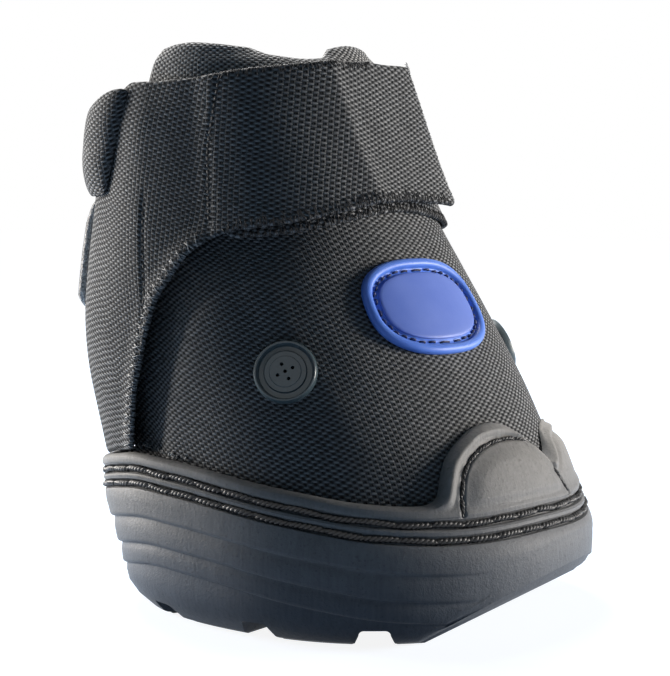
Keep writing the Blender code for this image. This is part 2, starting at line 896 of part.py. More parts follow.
def build_pull_tab(parts, fabric):
    turns = (TAB_TURN, 360 - TAB_TURN)

    def low(turn):
        near_end = turn if turn < 180 else 360 - turn
        return TAB_TOP - TAB_LENGTH + corner_cut(near_end, TAB_TURN, TAB_CORNER)

    tab = wrapped_sheet(
        "pull_tab", TAB_COLUMNS, TAB_ROWS,
        band_place(turns, low, constant(TAB_TOP), constant(GAP + wing_outer_lift())),
        TAB_THICKNESS, fabric, parts,
    )
    return tab


def turned(name, profile, material, collection):
    """A turned piece: a closed or axis-to-axis outline (radius, height) spun round Z."""
    bm = bmesh.new()
    verts = [bm.verts.new((radius, 0, height)) for radius, height in profile]
    for start, end in zip(verts, verts[1:]):
        bm.edges.new((start, end))
    if profile[0][0] > 0:
        bm.edges.new((verts[-1], verts[0]))
    obj = add_mesh(name, bm, material, collection)
    screw = obj.modifiers.new("Turned", "SCREW")
    screw.steps = TURNED_STEPS
    screw.render_steps = TURNED_STEPS
    screw.use_merge_vertices = True
    screw.merge_threshold = MERGE
    screw.use_smooth_shade = True
    return obj


def round_cutter(name, radius, length, matrix, collection):
    bm = bmesh.new()
    bmesh.ops.create_cone(
        bm, cap_ends=True, segments=TURNED_STEPS // 2, radius1=radius, radius2=radius, depth=length
    )
    cutter = add_mesh(name, bm, bpy.data.materials["rubber"], collection)
    cutter.matrix_world = matrix
    hide_cutter(cutter)
    return cutter


def build_vent(name, side, parts, cutters, rubber, holed):
    """A vent cap whose hollow stem passes through the panel to a washer inside."""
    turn = side * VENT_TURN
    inner_lift = lining_inner_lift() - CURVE_CLEARANCE - WASHER_THICKNESS
    stem_length = 2 * GAP - inner_lift
    frame = surface_matrix(turn, VENT_HEIGHT, GAP)
    ring_inner = VENT_RADIUS - VENT_RING_WIDTH
    profile = [
        (0, VENT_DISC),
        (VENT_DISC_RADIUS, VENT_DISC),
        (VENT_DISC_RADIUS, VENT_BASE),
        (ring_inner, VENT_BASE),
        (ring_inner + VENT_RING_ROUND, VENT_RING),
        (VENT_RADIUS - VENT_RING_ROUND, VENT_RING),
        (VENT_RADIUS, VENT_BASE),
        (VENT_RADIUS, 0),
        (STEM_RADIUS, 0),
        (STEM_RADIUS, -stem_length),
        (STEM_RADIUS - STEM_WALL, -stem_length),
        (STEM_RADIUS - STEM_WALL, 0),
        (0, 0),
    ]
    cap = turned(name + "_cap", profile, rubber, parts)
    cap.matrix_world = frame
    reach = VENT_DISC + 2 * CUT_OVERRUN
    pinholes = [Vector((0, 0, 0))]
    for step in range(PINHOLES_ROUND):
        angle = 2 * math.pi * step / PINHOLES_ROUND
        pinholes.append(PINHOLE_CIRCLE * Vector((math.cos(angle), math.sin(angle), 0)))
    cut(cap, [
        round_cutter(f"{name}_pinhole_{i}", PINHOLE_RADIUS, reach,
                     frame @ Matrix.Translation(place), cutters)
        for i, place in enumerate(pinholes)
    ])
    bore = STEM_RADIUS + HOLE_CLEARANCE
    washer = turned(name + "_washer", [
        (bore, WASHER_THICKNESS),
        (WASHER_RADIUS, WASHER_THICKNESS),
        (WASHER_RADIUS, 0),
        (bore, 0),
    ], rubber, parts)
    washer.matrix_world = surface_matrix(turn, VENT_HEIGHT, inner_lift)
    hole = round_cutter(name + "_hole", bore, 2 * (stem_length + CUT_OVERRUN), frame, cutters)
    for sheet in holed:
        cut(sheet, [hole])
    return cap, washer


def badge_point(angle, inset, lift, share=1.0):
    """A point of the badge's outline, drawn in by an inset and a share, on the front panel."""
    cosine = math.cos(angle)
    sine = math.sin(angle)
    power = 2 / BADGE_SQUARENESS
    half_length = (BADGE_HALF_LENGTH - inset) * share
    half_height = (BADGE_HALF_HEIGHT - inset) * share
    along = half_length * math.copysign(abs(cosine) ** power, cosine)
    up = half_height * math.copysign(abs(sine) ** power, sine)
    here = upper_face(BADGE_TURN, BADGE_HEIGHT)
    slope = (upper_face(BADGE_TURN, BADGE_HEIGHT + NORMAL_STEP) - here).length / NORMAL_STEP
    arc = (upper_face(BADGE_TURN + NORMAL_TURN, BADGE_HEIGHT) - here).length / NORMAL_TURN
    return boot_point(BADGE_TURN + along / arc, BADGE_HEIGHT + up / slope, lift)


def build_badge(parts, plastic):
    """A curved badge with a raised border, a stitch groove and a bare panel."""
    border = BADGE_BORDER_WIDTH
    groove = border + BADGE_GROOVE_WIDTH
    rim = [
        (0, BADGE_BACK),
        (0, BADGE_EDGE),
        (BADGE_BORDER_ROUND, BADGE_BORDER),
        (border - BADGE_BORDER_ROUND, BADGE_BORDER),
        (border, BADGE_GROOVE),
        (groove, BADGE_GROOVE),
        (groove + BADGE_PANEL_ROUND, BADGE_PANEL),
    ]
    panel_inset = rim[-1][0]
    columns = []
    for step in range(BADGE_STEPS):
        angle = 2 * math.pi * step / BADGE_STEPS
        column = [badge_point(angle, 0, BADGE_BACK, share) for share in reversed(BADGE_RING_SHARES)]
        column += [badge_point(angle, inset, lift) for inset, lift in rim]
        column += [
            badge_point(angle, panel_inset, BADGE_PANEL, share) for share in BADGE_RING_SHARES
        ]
        columns.append(column)
    badge = add_mesh("badge", loft_columns(columns), plastic, parts)
    smooth(badge)
    return badge


def stitched_loop(count, place):
    """Points of a thread that rises and dips once per stitch, two points to each."""
    points = []
    for step in range(2 * count):
        crown = THREAD_CROWN * (step % 2)
        points.append(place(step / (2 * count), crown))
    return points


def build_threads(parts, material):
    """The two lockstitched rows that hold the upper in the shell, and the badge's row."""
    rise = GAP + THREAD_RADIUS - GROOVE_DEPTH

    def rim_place(middle_drop):
        def place(share, crown):
            turn = 360 * share
            height = side_rim(turn) - middle_drop
            return shell_point(turn, height, -rise - crown)
        return place

    upper_drop = BEAD_HEIGHT + GROOVE_HEIGHT / 2
    lower_drop = upper_drop + GROOVE_HEIGHT + RIDGE_HEIGHT
    upper = thread("rim_thread_upper", stitched_loop(RIM_STITCHES, rim_place(upper_drop)),
                   True, material, parts)
    lower = thread("rim_thread_lower", stitched_loop(RIM_STITCHES, rim_place(lower_drop)),
                   True, material, parts)

    def badge_place(share, crown):
        inset = BADGE_BORDER_WIDTH + BADGE_GROOVE_WIDTH / 2
        lift = BADGE_GROOVE + GAP + THREAD_RADIUS + crown
        return badge_point(2 * math.pi * share, inset, lift)

    row = thread("badge_thread", stitched_loop(BADGE_STITCHES, badge_place), True, material, parts)
    return upper, lower, row


def cap_seam_point(share, lift):
    """The toe cap's stitched line, inside its border."""
    half_turn = CAP_HALF_TURN - math.degrees(CAP_BORDER / UPPER_HALF_WIDTH)
    turn = -half_turn + 2 * half_turn * share
    low = side_rim(turn)
    height = low + cap_rise(turn, CAP_RISE - CAP_BORDER, half_turn)
    return shell_point(turn, height, -lift)


def cap_seam_shares():
    """Shares along the seam, closer together where the cap's outline is steep."""
    steps = np.linspace(-1, 1, CAP_SEAM_POINTS).tolist()
    return [0.5 + 0.5 * math.sin(step * math.pi / 2) for step in steps]


def build_cap_seam(shell, parts, cutters, material):
    """A groove in the toe cap along its border, with its thread."""
    groove_radius = GROOVE_HEIGHT / 2
    guide_points = [cap_seam_point(share, 0) for share in cap_seam_shares()]
    guide = thread("cap_groove_guide", guide_points, False, material, cutters)
    guide.data.bevel_depth = groove_radius
    depsgraph = bpy.context.evaluated_depsgraph_get()
    mesh = bpy.data.meshes.new_from_object(guide.evaluated_get(depsgraph))
    bm = bmesh.new()
    bm.from_mesh(mesh)
    bpy.data.meshes.remove(mesh)
    bmesh.ops.remove_doubles(bm, verts=bm.verts, dist=MERGE)
    bmesh.ops.recalc_face_normals(bm, faces=bm.faces)
    groove = add_mesh("cap_groove", bm, material, cutters)
    groove.matrix_world = guide.matrix_world
    bpy.data.objects.remove(guide)
    hide_cutter(groove)
    cut(shell, [groove])
    lift = THREAD_RADIUS + GAP - groove_radius * math.cos(math.pi / 4)
    points = []
    for i, share in enumerate(cap_seam_shares()[1:-1]):
        points.append(cap_seam_point(share, lift + THREAD_CROWN * (i % 2)))
    return thread("toe_cap_thread", points, False, material, parts)


def pivot(name, location, parts):
    empty = bpy.data.objects.new(name, None)
    empty.location = location
    empty.empty_display_size = HEEL_COLLAR_THICKNESS
    parts.objects.link(empty)
    return empty


def hang(pieces, empty):
    for piece in pieces:
        piece.parent = empty
        piece.matrix_parent_inverse = Matrix.Translation(-empty.location)


def heel_axis_point():
    """The heel unit folds back about a cross line just outside its foot."""
    return boot_point(180, rim_height(180), GAP + wing_outer_lift())


def split_axis_ends(side):
    """Foot and head of the line about which the strap or the flap opens from its wing."""
    turn = side * WING_SPLIT_TURN
    lift = GAP + wing_outer_lift()
    return boot_point(turn, wing_low(turn), lift), boot_point(turn, wing_high(turn), lift)


def tab_axis_point():
    """The pull tab swings out about a cross line along the top of its outer face."""
    return boot_point(180, TAB_TOP, GAP + wing_outer_lift() + TAB_THICKNESS)


def build():
    clear_scene()
    parts = make_collection(PARTS)
    cutters = make_collection(CUTTERS)
    rubber = make_material("rubber", RUBBER_COLOUR, 0.55)
    fabric = make_material("ballistic_fabric", FABRIC_COLOUR, 0.80)
    lining = make_material("padded_lining", LINING_COLOUR, 0.90)
    yarn = make_material("thread", THREAD_COLOUR, 0.70)
    hook = make_material("hook_tape", PATCH_COLOUR, 0.85)
    loop = make_material("loop_tape", PATCH_COLOUR, 0.95)
    foam = make_material("insole_foam", FOAM_COLOUR, 0.90)
    plastic = make_material("badge_rubber", BADGE_COLOUR, 0.45)
    vent = make_material("vent_rubber", CAP_COLOUR, 0.50)

    shell = build_shell(parts, cutters, rubber)
    build_cap_seam(shell, parts, cutters, yarn)
    build_insole(parts, foam)
    panel, padding = build_front_panel(parts, fabric, lining)
    build_tongue(parts, fabric)
    build_vent("vent_right", -1, parts, cutters, vent, (panel, padding))
    build_vent("vent_left", 1, parts, cutters, vent, (panel, padding))
    build_badge(parts, plastic)
    build_threads(parts, yarn)

    heel_panel, heel_padding, _ = build_heel(parts, fabric, lining)
    wing_right = build_wing("wing_right", -1, parts, fabric)
    wing_left = build_wing("wing_left", 1, parts, fabric)
    collar = build_heel_collar(parts, fabric)
    strap_pieces = build_strap(parts, fabric, hook)
    flap_pieces = build_flap(parts, fabric, loop)
    tab = build_pull_tab(parts, fabric)

    hang((heel_panel, heel_padding, wing_right, wing_left, collar),
         pivot("heel_pivot", heel_axis_point(), parts))
    hang(strap_pieces, pivot("strap_pivot", split_axis_ends(-1)[0], parts))
    hang(flap_pieces, pivot("flap_pivot", split_axis_ends(1)[0], parts))
    hang((tab,), pivot("tab_pivot", tab_axis_point(), parts))


build()
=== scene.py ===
"""Looks of the horse hoof boot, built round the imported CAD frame. Units are metres.

Angles ("turns") go round the boot from the toe in degrees, positive towards +X.
A "lift" is a distance along the outward normal of the upper's outer face.
"""
import math

import bmesh
import bpy
import numpy as np
from mathutils import Matrix, Vector


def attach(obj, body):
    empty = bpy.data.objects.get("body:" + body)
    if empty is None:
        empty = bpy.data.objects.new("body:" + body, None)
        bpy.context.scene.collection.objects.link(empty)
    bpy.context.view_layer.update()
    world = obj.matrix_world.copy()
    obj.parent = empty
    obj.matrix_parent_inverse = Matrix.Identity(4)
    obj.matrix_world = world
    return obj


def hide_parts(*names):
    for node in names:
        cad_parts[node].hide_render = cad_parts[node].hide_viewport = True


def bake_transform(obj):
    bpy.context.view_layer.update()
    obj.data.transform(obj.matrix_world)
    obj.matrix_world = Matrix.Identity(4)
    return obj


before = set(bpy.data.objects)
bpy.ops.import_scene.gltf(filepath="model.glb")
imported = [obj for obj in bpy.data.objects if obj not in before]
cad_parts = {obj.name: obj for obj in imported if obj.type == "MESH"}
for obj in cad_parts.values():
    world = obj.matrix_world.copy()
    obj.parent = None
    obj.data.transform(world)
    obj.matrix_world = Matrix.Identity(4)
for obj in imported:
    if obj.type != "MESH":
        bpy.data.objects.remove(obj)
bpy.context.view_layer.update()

MM = 0.001
GAP = 0.3 * MM
UP = Vector((0, 0, 1))

# Sizes from the CAD source
UPPER_SHARES = np.array((
    (0.052, -0.285, 0.978, 1.030), (0.125, -0.243, 0.995, 1.030), (0.188, -0.178, 1.000, 1.030),
    (0.271, -0.059, 0.995, 1.030), (0.344, 0.084, 0.981, 1.030), (0.427, 0.267, 0.957, 1.025),
    (0.521, 0.460, 0.916, 1.000), (0.615, 0.624, 0.855, 0.970), (0.698, 0.738, 0.791, 0.955),
    (0.781, 0.822, 0.739, 0.945), (0.875, 0.901, 0.693, 0.945), (0.938, 0.950, 0.660, 0.945),
    (1.000, 1.000, 0.622, 0.945)))
SHELL_SHARES = np.array((
    (0.000, -0.800, 0.888, 1.030), (0.154, -0.690, 0.958, 1.030), (0.346, -0.645, 0.982, 1.030),
    (0.538, -0.555, 1.000, 1.030), (0.769, -0.320, 0.996, 1.030), (1.000, -0.150, 0.976, 1.030),
    (1.269, 0.200, 0.964, 1.030)))
RIM_SHARES = np.array((
    (0, 0.00, 0.0), (34, 0.00, 0.0), (50, 0.17, 0.0), (61, 0.38, 0.0), (73, 0.59, 0.0),
    (87, 0.83, 0.0), (100, 0.96, 0.0), (111, 1.00, 0.0), (122, 0.80, 0.1), (134, 0.42, 0.4),
    (150, 0.10, 0.8), (180, 0.00, 1.0)))
WING_SHARES = np.array((
    (60, 1.000), (65, 0.985), (71, 0.955), (78, 0.880), (84, 0.780), (90, 0.680),
    (95, 0.550), (100, 0.410), (106, 0.225), (112, 0.000)))
# Full height, how far the middle moves back, and half width
UPPER_SIZE = (0.192, 0.0404, 0.0736)
SHELL_SIZE = (0.052, 0.0200, 0.0795)
CENTRE_SHIFT = -1.2 * MM
# The rim's height at the toe, and its rises at the quarters and the heel
RIM_SIZES = (43.9 * MM, 12.0 * MM, 5.6 * MM)
BANDS = ((20.5 * MM, 8.5 * MM), (29.3 * MM, 5.2 * MM), (36.5 * MM, 2.5 * MM))
LUG_TURNS = (50.0, 81.0, 114.0, 147.0, 180.0)
LUG_WIDTH, LUG_DEPTH, LUG_LENGTH, LUG_CORNER = 12.2 * MM, 5.8 * MM, 26.0 * MM, 1.7 * MM
BEVEL_TURN = math.radians(11)
BEVEL_START = 61.7 * MM
BEVEL_SLOPE = 0.565
SOLE_TOP = 13.0 * MM
UPPER_FOOT = SOLE_TOP + 1.2 * MM
STRAP_LOW = 129.3 * MM
STRAP_HIGH = 180.5 * MM
PANEL_TOP = 150.0 * MM
HEEL_TOP = 176.0 * MM
PANEL_TURN = 122
HEEL_TURNS = (148.35, 211.65)
HEEL_PAD_TURNS = (124.6, 235.4)
FOOT_TURN = 112.0
WING_END = 147.65
STRAP_END = 28
FLAP_END = -64
VENT_TURN = 56.0
VENT_HEIGHT = 85.4 * MM
BADGE_TURN = -5.5
BADGE_HEIGHT = 104.5 * MM
BADGE_REACH = (27.2 * MM, 18.2 * MM)
TAB_TURN = 141
TAB_LOW = 100.5 * MM
TAB_TOP = 138.8 * MM
TAB_CORNER = 8 * MM

# Rough radii that turn angles into lengths: of a whole sheet, the front panel, the strap,
# and the levels where the sheets' corners lie
SHEET_RADIUS, VAMP_RADIUS, STRAP_RADIUS, CORNER_RADIUS = 65 * MM, 66 * MM, 60 * MM, 50 * MM
RIM_STITCHES, CAP_STITCHES, BADGE_STITCHES = 44, 12, 34

# Shapes that only the looks have
# Turn and rise over the side rim (mm) along the toe cap's edge
CAP_RISES = np.array((
    (-28.4, 3.2), (-27.6, 5.0), (-26.3, 8.4), (-24.2, 12.6), (-20.5, 16.8), (-16.0, 20.0),
    (-10.6, 22.5), (-5.3, 23.2), (0.7, 22.0), (4.3, 19.7), (8.0, 16.2), (11.6, 12.1),
    (14.3, 9.5), (16.6, 10.1), (19.4, 12.8), (21.4, 15.6), (22.9, 17.4), (25.5, 18.9),
    (30.0, 19.6), (36.0, 19.0), (43.0, 16.6), (49.5, 12.4), (54.0, 7.2), (56.5, 3.2)))
CAP_START, CAP_END = CAP_RISES[0, 0], CAP_RISES[-1, 0]
# Turn and height (mm) along the toe cap's stitched line
CAP_SEAM = np.array((
    (-24.4, 40.3), (-22.9, 47.5), (-20.2, 53.8), (-14.5, 59.0), (-8.5, 61.4), (-2.6, 62.1),
    (3.5, 61.3), (8.2, 58.8), (12.0, 54.4), (14.6, 50.1), (16.8, 45.6), (18.4, 40.3)))
CAP_SEAM_LOW, CAP_SEAM_HIGH = 40.3, 62.1
MM_PER_TURN_AT_CAP = 1.12
# Rise (mm) and share of the step's depth, across one step of the shell's side
STEP_PROFILE = ((-1.0, 1.0), (-0.62, 1.10), (-0.40, 1.02), (-0.22, 0.75), (-0.02, 0.30),
                (0.25, -0.10), (0.7, -0.35), (1.3, -0.38))
# Rise from a stitch groove's top and depth, in mm
GROOVE_PROFILE = ((-3.5, 0.0), (-3.12, 0.12), (-2.78, 0.85), (-2.45, 1.50), (-1.6, 1.62),
                  (-0.55, 1.50), (-0.18, 0.85), (0.12, 0.12), (0.50, 0.0))
# How far the lower and the upper groove's tops lie below the rim
GROOVE_DROPS = (8.4 * MM, 3.6 * MM)
# Rise and inset of the rounded foot, as shares of its rounding
FOOT_PROFILE = ((0.0, 1.9), (0.15, 1.35), (0.5, 0.85), (1.2, 0.4))
# Turn and height (mm) of the tongue's upper edge
TONGUE_TOP = np.array((
    (-101, 186.8), (-97, 191.0), (-90, 193.4), (-80, 194.5), (-66, 194.0), (-52, 192.8),
    (-38, 191.6), (-24, 190.6), (-12, 191.2), (-2, 193.2), (10, 194.3), (22, 193.6),
    (36, 191.8), (55, 191.2), (80, 193.0), (92, 190.5), (101, 184.6)))
# Height (mm) and turn of the right wing's seam
WING_SEAM = np.array(((61, -105), (80, -102), (107, -95), (141, -93), (174, -89)))
# Where the strap's cloth steps up over the flap, and where it folds at the front
STEP_HEIGHTS, STEP_TURNS = (129 * MM, 157 * MM, 179 * MM), (-69.0, -67.0, -61.0)
FOLD_HEIGHTS, FOLD_TURNS = (137 * MM, 157 * MM, 181 * MM), (-15.0, -18.5, -21.0)
STRAP_WEAVE = (-67, 8.0)


# Small maths
def through(x, xs, ys):
    """A smooth cubic curve through a table's points."""
    step = np.diff(xs)
    slope = np.diff(ys) / step
    tangent = np.concatenate((slope[:1], slope))
    tangent[1:-1] = (step[1:] * slope[:-1] + step[:-1] * slope[1:]) / (step[1:] + step[:-1])
    x = np.clip(np.asarray(x, float), xs[0], xs[-1])
    i = np.clip(np.searchsorted(xs, x) - 1, 0, len(step) - 1)
    u = (x - xs[i]) / step[i]
    start = (1 + 2 * u) * (1 - u) ** 2 * ys[i] + u * (1 - u) ** 2 * step[i] * tangent[i]
    end = u * u * (3 - 2 * u) * ys[i + 1] + u * u * (u - 1) * step[i] * tangent[i + 1]
    return start + end


def ease(x, start, end):
    u = np.clip((np.asarray(x, float) - start) / (end - start), 0, 1)
    return u * u * (3 - 2 * u)


def hump(x, centre, half):
    """1 at the centre, 0 beyond half, smooth between."""
    return 1 - ease(np.abs(np.asarray(x, float) - centre), 0, half)


def wrap(turn):
    return (np.asarray(turn, float) + 180) % 360 - 180


def signed_power(x, power):
    return np.sign(x) * np.abs(x) ** power


def noise(x, y, seed, scale):
    """Smooth seeded noise in about -1..1 over a plane, from a few crossed waves."""
    rng = np.random.default_rng(seed)
    total = np.zeros(np.broadcast(x, y).shape)
    for _ in range(7):
        angle, phase = rng.uniform(0, 2 * math.pi, 2)
        k = rng.uniform(0.6, 1.6) * 2 * math.pi / scale
        total = total + np.sin(k * (x * math.cos(angle) + y * math.sin(angle)) + phase)
    return total / 4


def unit(vectors):
    return vectors / (np.linalg.norm(vectors, axis=-1, keepdims=True) + 1e-15)


def lengths(points, axis=0):
    """Distances along rows of points, from 0."""
    steps = np.linalg.norm(np.diff(points, axis=axis), axis=-1)
    return np.insert(np.cumsum(steps, axis), 0, 0, axis)


def nearest(points, line):
    """Each point's distance from the nearest point of a line."""
    flat = points.reshape(-1, 3)
    out = np.empty(len(flat))
    for i in range(0, len(flat), 3000):
        part = flat[i:i + 3000, None, :] - line[None]
        out[i:i + 3000] = np.sqrt((part ** 2).sum(-1)).min(1)
    return out.reshape(points.shape[:-1])


def value_of(given, *where):
    """A function's value at a place, or a plain number as it is."""
    return given(*where) if callable(given) else given


# The boot's faces
def section(turn, height, shares, size):
    turn, height = np.broadcast_arrays(np.asarray(turn, float), np.asarray(height, float))
    full_height, setback, width = size
    share = height / full_height
    middle = setback * through(share, shares[:, 0], shares[:, 1])
    half = width * through(share, shares[:, 0], shares[:, 2])
    reach = half * through(share, shares[:, 0], shares[:, 3])
    angle = np.radians(turn)
    forward = np.cos(angle)
    power = np.where(forward > 0, 2.2, 2.5)
    along = np.where(forward > 0, half, reach)
    radius = ((np.abs(np.sin(angle)) / half) ** power
              + (np.abs(forward) / along) ** power) ** (-1 / power)
    return np.stack((radius * np.sin(angle), CENTRE_SHIFT + middle - radius * forward, height), -1)


def upper(turn, height):
    return section(turn, height, UPPER_SHARES, UPPER_SIZE)


def shell(turn, height):
    return section(turn, height, SHELL_SHARES, SHELL_SIZE)


def outward(face, turn, height):
    around = face(turn + 0.5, height) - face(turn - 0.5, height)
    up = face(turn, height + 0.5 * MM) - face(turn, height - 0.5 * MM)
    return unit(np.cross(around, up))


def boot(turn, height, lift):
    turn, height, lift = np.broadcast_arrays(turn, height, lift)
    return upper(turn, height) + lift[..., None] * outward(upper, turn, height)


def on_shell(turn, height, inset):
    turn, height, inset = np.broadcast_arrays(turn, height, inset)
    return shell(turn, height) - inset[..., None] * outward(shell, turn, height)


def side_rim(turn):
    turn = np.abs(wrap(turn))
    quarter = through(turn, RIM_SHARES[:, 0], RIM_SHARES[:, 1])
    heel = through(turn, RIM_SHARES[:, 0], RIM_SHARES[:, 2])
    return RIM_SIZES[0] + RIM_SIZES[1] * quarter + RIM_SIZES[2] * heel


def beside_cap(turn):
    return np.maximum(CAP_START - turn, turn - CAP_END)


def rim(turn):
    """The shell's upper edge: the side rim with the toe cap's two lobes over it."""
    turn = wrap(turn)
    lobes = through(turn, CAP_RISES[:, 0], CAP_RISES[:, 1]) * MM
    return side_rim(turn) + lobes * np.exp(-np.maximum(beside_cap(turn), 0) / 2.2)


def bevel(x, y):
    forward = x * math.sin(BEVEL_TURN) + (CENTRE_SHIFT - y) * math.cos(BEVEL_TURN)
    return np.maximum(0, (forward - BEVEL_START) * BEVEL_SLOPE)


def tread(turn):
    """The height at which the shell's side meets the tread or the toe bevel."""
    height = np.zeros(np.shape(turn))
    for _ in range(40):
        edge = shell(turn, height)
        height = height + 0.4 * (bevel(edge[..., 0], edge[..., 1]) - height)
    return height


def wing_low(turn):
    turn = np.abs(np.asarray(turn, float))
    foot = rim(FOOT_TURN) + 1.0 * MM
    rise = STRAP_LOW + 7.8 * MM * ease(60 - turn, 0, 60)
    climb = foot + (STRAP_LOW - foot) * through(turn, WING_SHARES[:, 0], WING_SHARES[:, 1])
    return np.where(turn >= FOOT_TURN, rim(turn) + 1.0 * MM, np.where(turn <= 60, rise, climb))


def wing_high(turn):
    return STRAP_HIGH + 5.0 * MM * (1 - np.minimum(np.abs(turn), 90) / 90)


def wing_edge_distance(turn, height):
    """Distance from a point of the upper to the near wing's lower edge, in metres."""
    edge_turn = np.concatenate((np.linspace(-112, -60, 80), np.linspace(-59, 40, 60)))
    return nearest(upper(turn, height), upper(edge_turn, wing_low(edge_turn)))


# Mesh building
def place_in_scene(name, data):
    obj = bpy.data.objects.new(name, data)
    bpy.context.scene.collection.objects.link(obj)
    return obj


def new_object(name, verts, faces, uvs=None):
    """A smooth mesh object; uvs holds one place for each vertex or for each face corner."""
    mesh = bpy.data.meshes.new(name)
    mesh.from_pydata([tuple(v) for v in verts], [], [tuple(f) for f in faces])
    if uvs is not None:
        layer = mesh.uv_layers.new(name="weave")
        order = np.empty(len(mesh.loops), np.int64)
        mesh.loops.foreach_get("vertex_index", order)
        values = uvs[order] if len(uvs) == len(verts) else uvs
        layer.data.foreach_set("uv", np.asarray(values, np.float32).ravel())
    mesh.shade_smooth()
    mesh.validate()
    return place_in_scene(name, mesh)


def fix_normals(obj):
    bm = bmesh.new()
    bm.from_mesh(obj.data)
    bmesh.ops.recalc_face_normals(bm, faces=bm.faces)
    bm.to_mesh(obj.data)
    bm.free()


def quads(nu, nv, closed=False):
    """Faces of a grid of nu by nv points, closed round the first direction or open."""
    i, j = np.meshgrid(np.arange(nu if closed else nu - 1), np.arange(nv - 1), indexing="ij")
    n = (i + 1) % nu
    return np.stack((i * nv + j, n * nv + j, n * nv + j + 1, i * nv + j + 1), -1).reshape(-1, 4)


def closed_body(name, rings, hubs=None, uvs=None):
    """A closed body from rings of points. The first and last ring close on a middle point."""
    columns = np.array(rings).transpose(1, 0, 2)
    nu, nv = columns.shape[:2]
    verts = list(columns.reshape(-1, 3))
    faces = [tuple(f) for f in quads(nu, nv, closed=True)]
    for end, j in enumerate((0, nv - 1)):
        hub = len(verts)
        verts.append(hubs[end] if hubs else columns[:, j].mean(0))
        faces += [(i * nv + j, ((i + 1) % nu) * nv + j, hub) for i in range(nu)]
    if uvs is not None:
        uvs = np.concatenate((uvs.transpose(1, 0, 2).reshape(-1, 2), uvs[0, :2]))
    obj = new_object(name, verts, faces, uvs)
    fix_normals(obj)
    return obj


def edge_spaced(count, length, radius):
    """Places in 0..1, packed close within radius of both ends."""
    ends = radius * np.array((0, 0.08, 0.25, 0.5, 0.75, 1.0)) / length
    ends = ends[ends < 0.3]
    inner = np.linspace(ends[-1], 1 - ends[-1], count)
    return np.concatenate((ends[:-1], inner, 1 - ends[:-1][::-1]))


def quarter_circle(share):
    """How far an edge has rounded off, from 1 at the end to 0 at a share of 1 and beyond."""
    return 1 - np.sqrt(np.clip(1 - (1 - np.clip(share, 0, 1)) ** 2, 0, 1))


def arc_uv(turns, heights, grain):
    """Cloth coordinates in mm: along each level from the sheet's middle, and up the face."""
    points = upper(turns, heights)
    along = lengths(points)
    along = along - along[turns.shape[0] // 2]
    up = lengths(points, 1) + heights[:, :1]
    c, s = math.cos(math.radians(grain)), math.sin(math.radians(grain))
    return np.stack(((along * c - up * s) / MM, (along * s + up * c) / MM), -1)


def corner_uvs(t, z, grain, seam):
    """Cloth coordinates of each face corner, and which columns lie beyond the seam."""
    near = arc_uv(t, z, grain)
    after = np.zeros(len(t) - 1, bool)
    beyond = near
    if seam:
        after = 0.5 * (t[:-1, 0] + t[1:, 0]) >= seam[0]
        beyond = arc_uv(t, z, seam[1])
    nu, nv = t.shape
    corners = []
    for order in (((0, 0), (1, 0), (1, 1), (0, 1)), ((0, 0), (0, 1), (1, 1), (1, 0))):
        block = [np.where(after[:, None, None], beyond[i:nu - 1 + i, j:nv - 1 + j],
                          near[i:nu - 1 + i, j:nv - 1 + j]) for i, j in order]
        corners.append(np.stack(block, 2).reshape(-1, 2))
    return np.concatenate(corners), after


def panel(name, turns, low, high, inner, outer, count, bull=None, grain=0.0, seam=None):
    """A closed sheet round the boot with bull-nosed edges.

    low and high are heights, as numbers or functions of the turn. inner and outer are lifts,
    as numbers or functions of (turn, height). seam is a (turn, grain) pair where the weave
    lies another way beyond a turn; the faces there take the second material.
    """
    span = math.radians(abs(turns[1] - turns[0])) * SHEET_RADIUS
    middle = np.array((turns[0] + turns[1]) / 2)
    height = float(value_of(high, middle) - value_of(low, middle))
    # Without a bull, half the thickness at this one place rounds every edge
    place = (middle, np.array(100 * MM))
    radius = bull or 0.5 * float(value_of(outer, *place) - value_of(inner, *place))
    us = edge_spaced(count[0], span, radius)
    vs = edge_spaced(count[1], height, radius)
    t = turns[0] + (turns[1] - turns[0]) * us[:, None] + 0 * vs[None]
    z = value_of(low, t) + (value_of(high, t) - value_of(low, t)) * vs[None]
    fall_u = quarter_circle(np.minimum(us, 1 - us)[:, None] * span / radius)
    fall_v = quarter_circle(np.minimum(vs, 1 - vs)[None] * height / radius)
    keep = (1 - fall_u) * (1 - fall_v)
    a, b = value_of(inner, t, z) + 0 * t, value_of(outer, t, z) + 0 * t
    half = (b - a) / 2
    top = boot(t, z, a + half + half * keep)
    bottom = boot(t, z, a + half - half * keep)
    nu, nv = t.shape
    verts = np.concatenate((top.reshape(-1, 3), bottom[1:-1, 1:-1].reshape(-1, 3)))
    index = np.arange(nu * nv).reshape(nu, nv)
    index[1:-1, 1:-1] = nu * nv + np.arange((nu - 2) * (nv - 2)).reshape(nu - 2, nv - 2)
    under = np.stack((index[:-1, :-1], index[:-1, 1:], index[1:, 1:], index[1:, :-1]), -1)
    faces = np.concatenate((quads(nu, nv), under.reshape(-1, 4)))
    corners, after = corner_uvs(t, z, grain, seam)
    obj = new_object(name, verts, faces, corners)
    slots = np.repeat(after, nv - 1).astype(np.int32)
    obj.data.polygons.foreach_set("material_index", np.tile(slots, 2))
    return obj


def thread_axes(path, out):
    """The directions across a thread and away from the surface, all along its path."""
    tangent = unit(np.gradient(path, axis=0))
    across = unit(np.cross(tangent, np.broadcast_to(out, path.shape)))
    return across, np.cross(across, tangent)


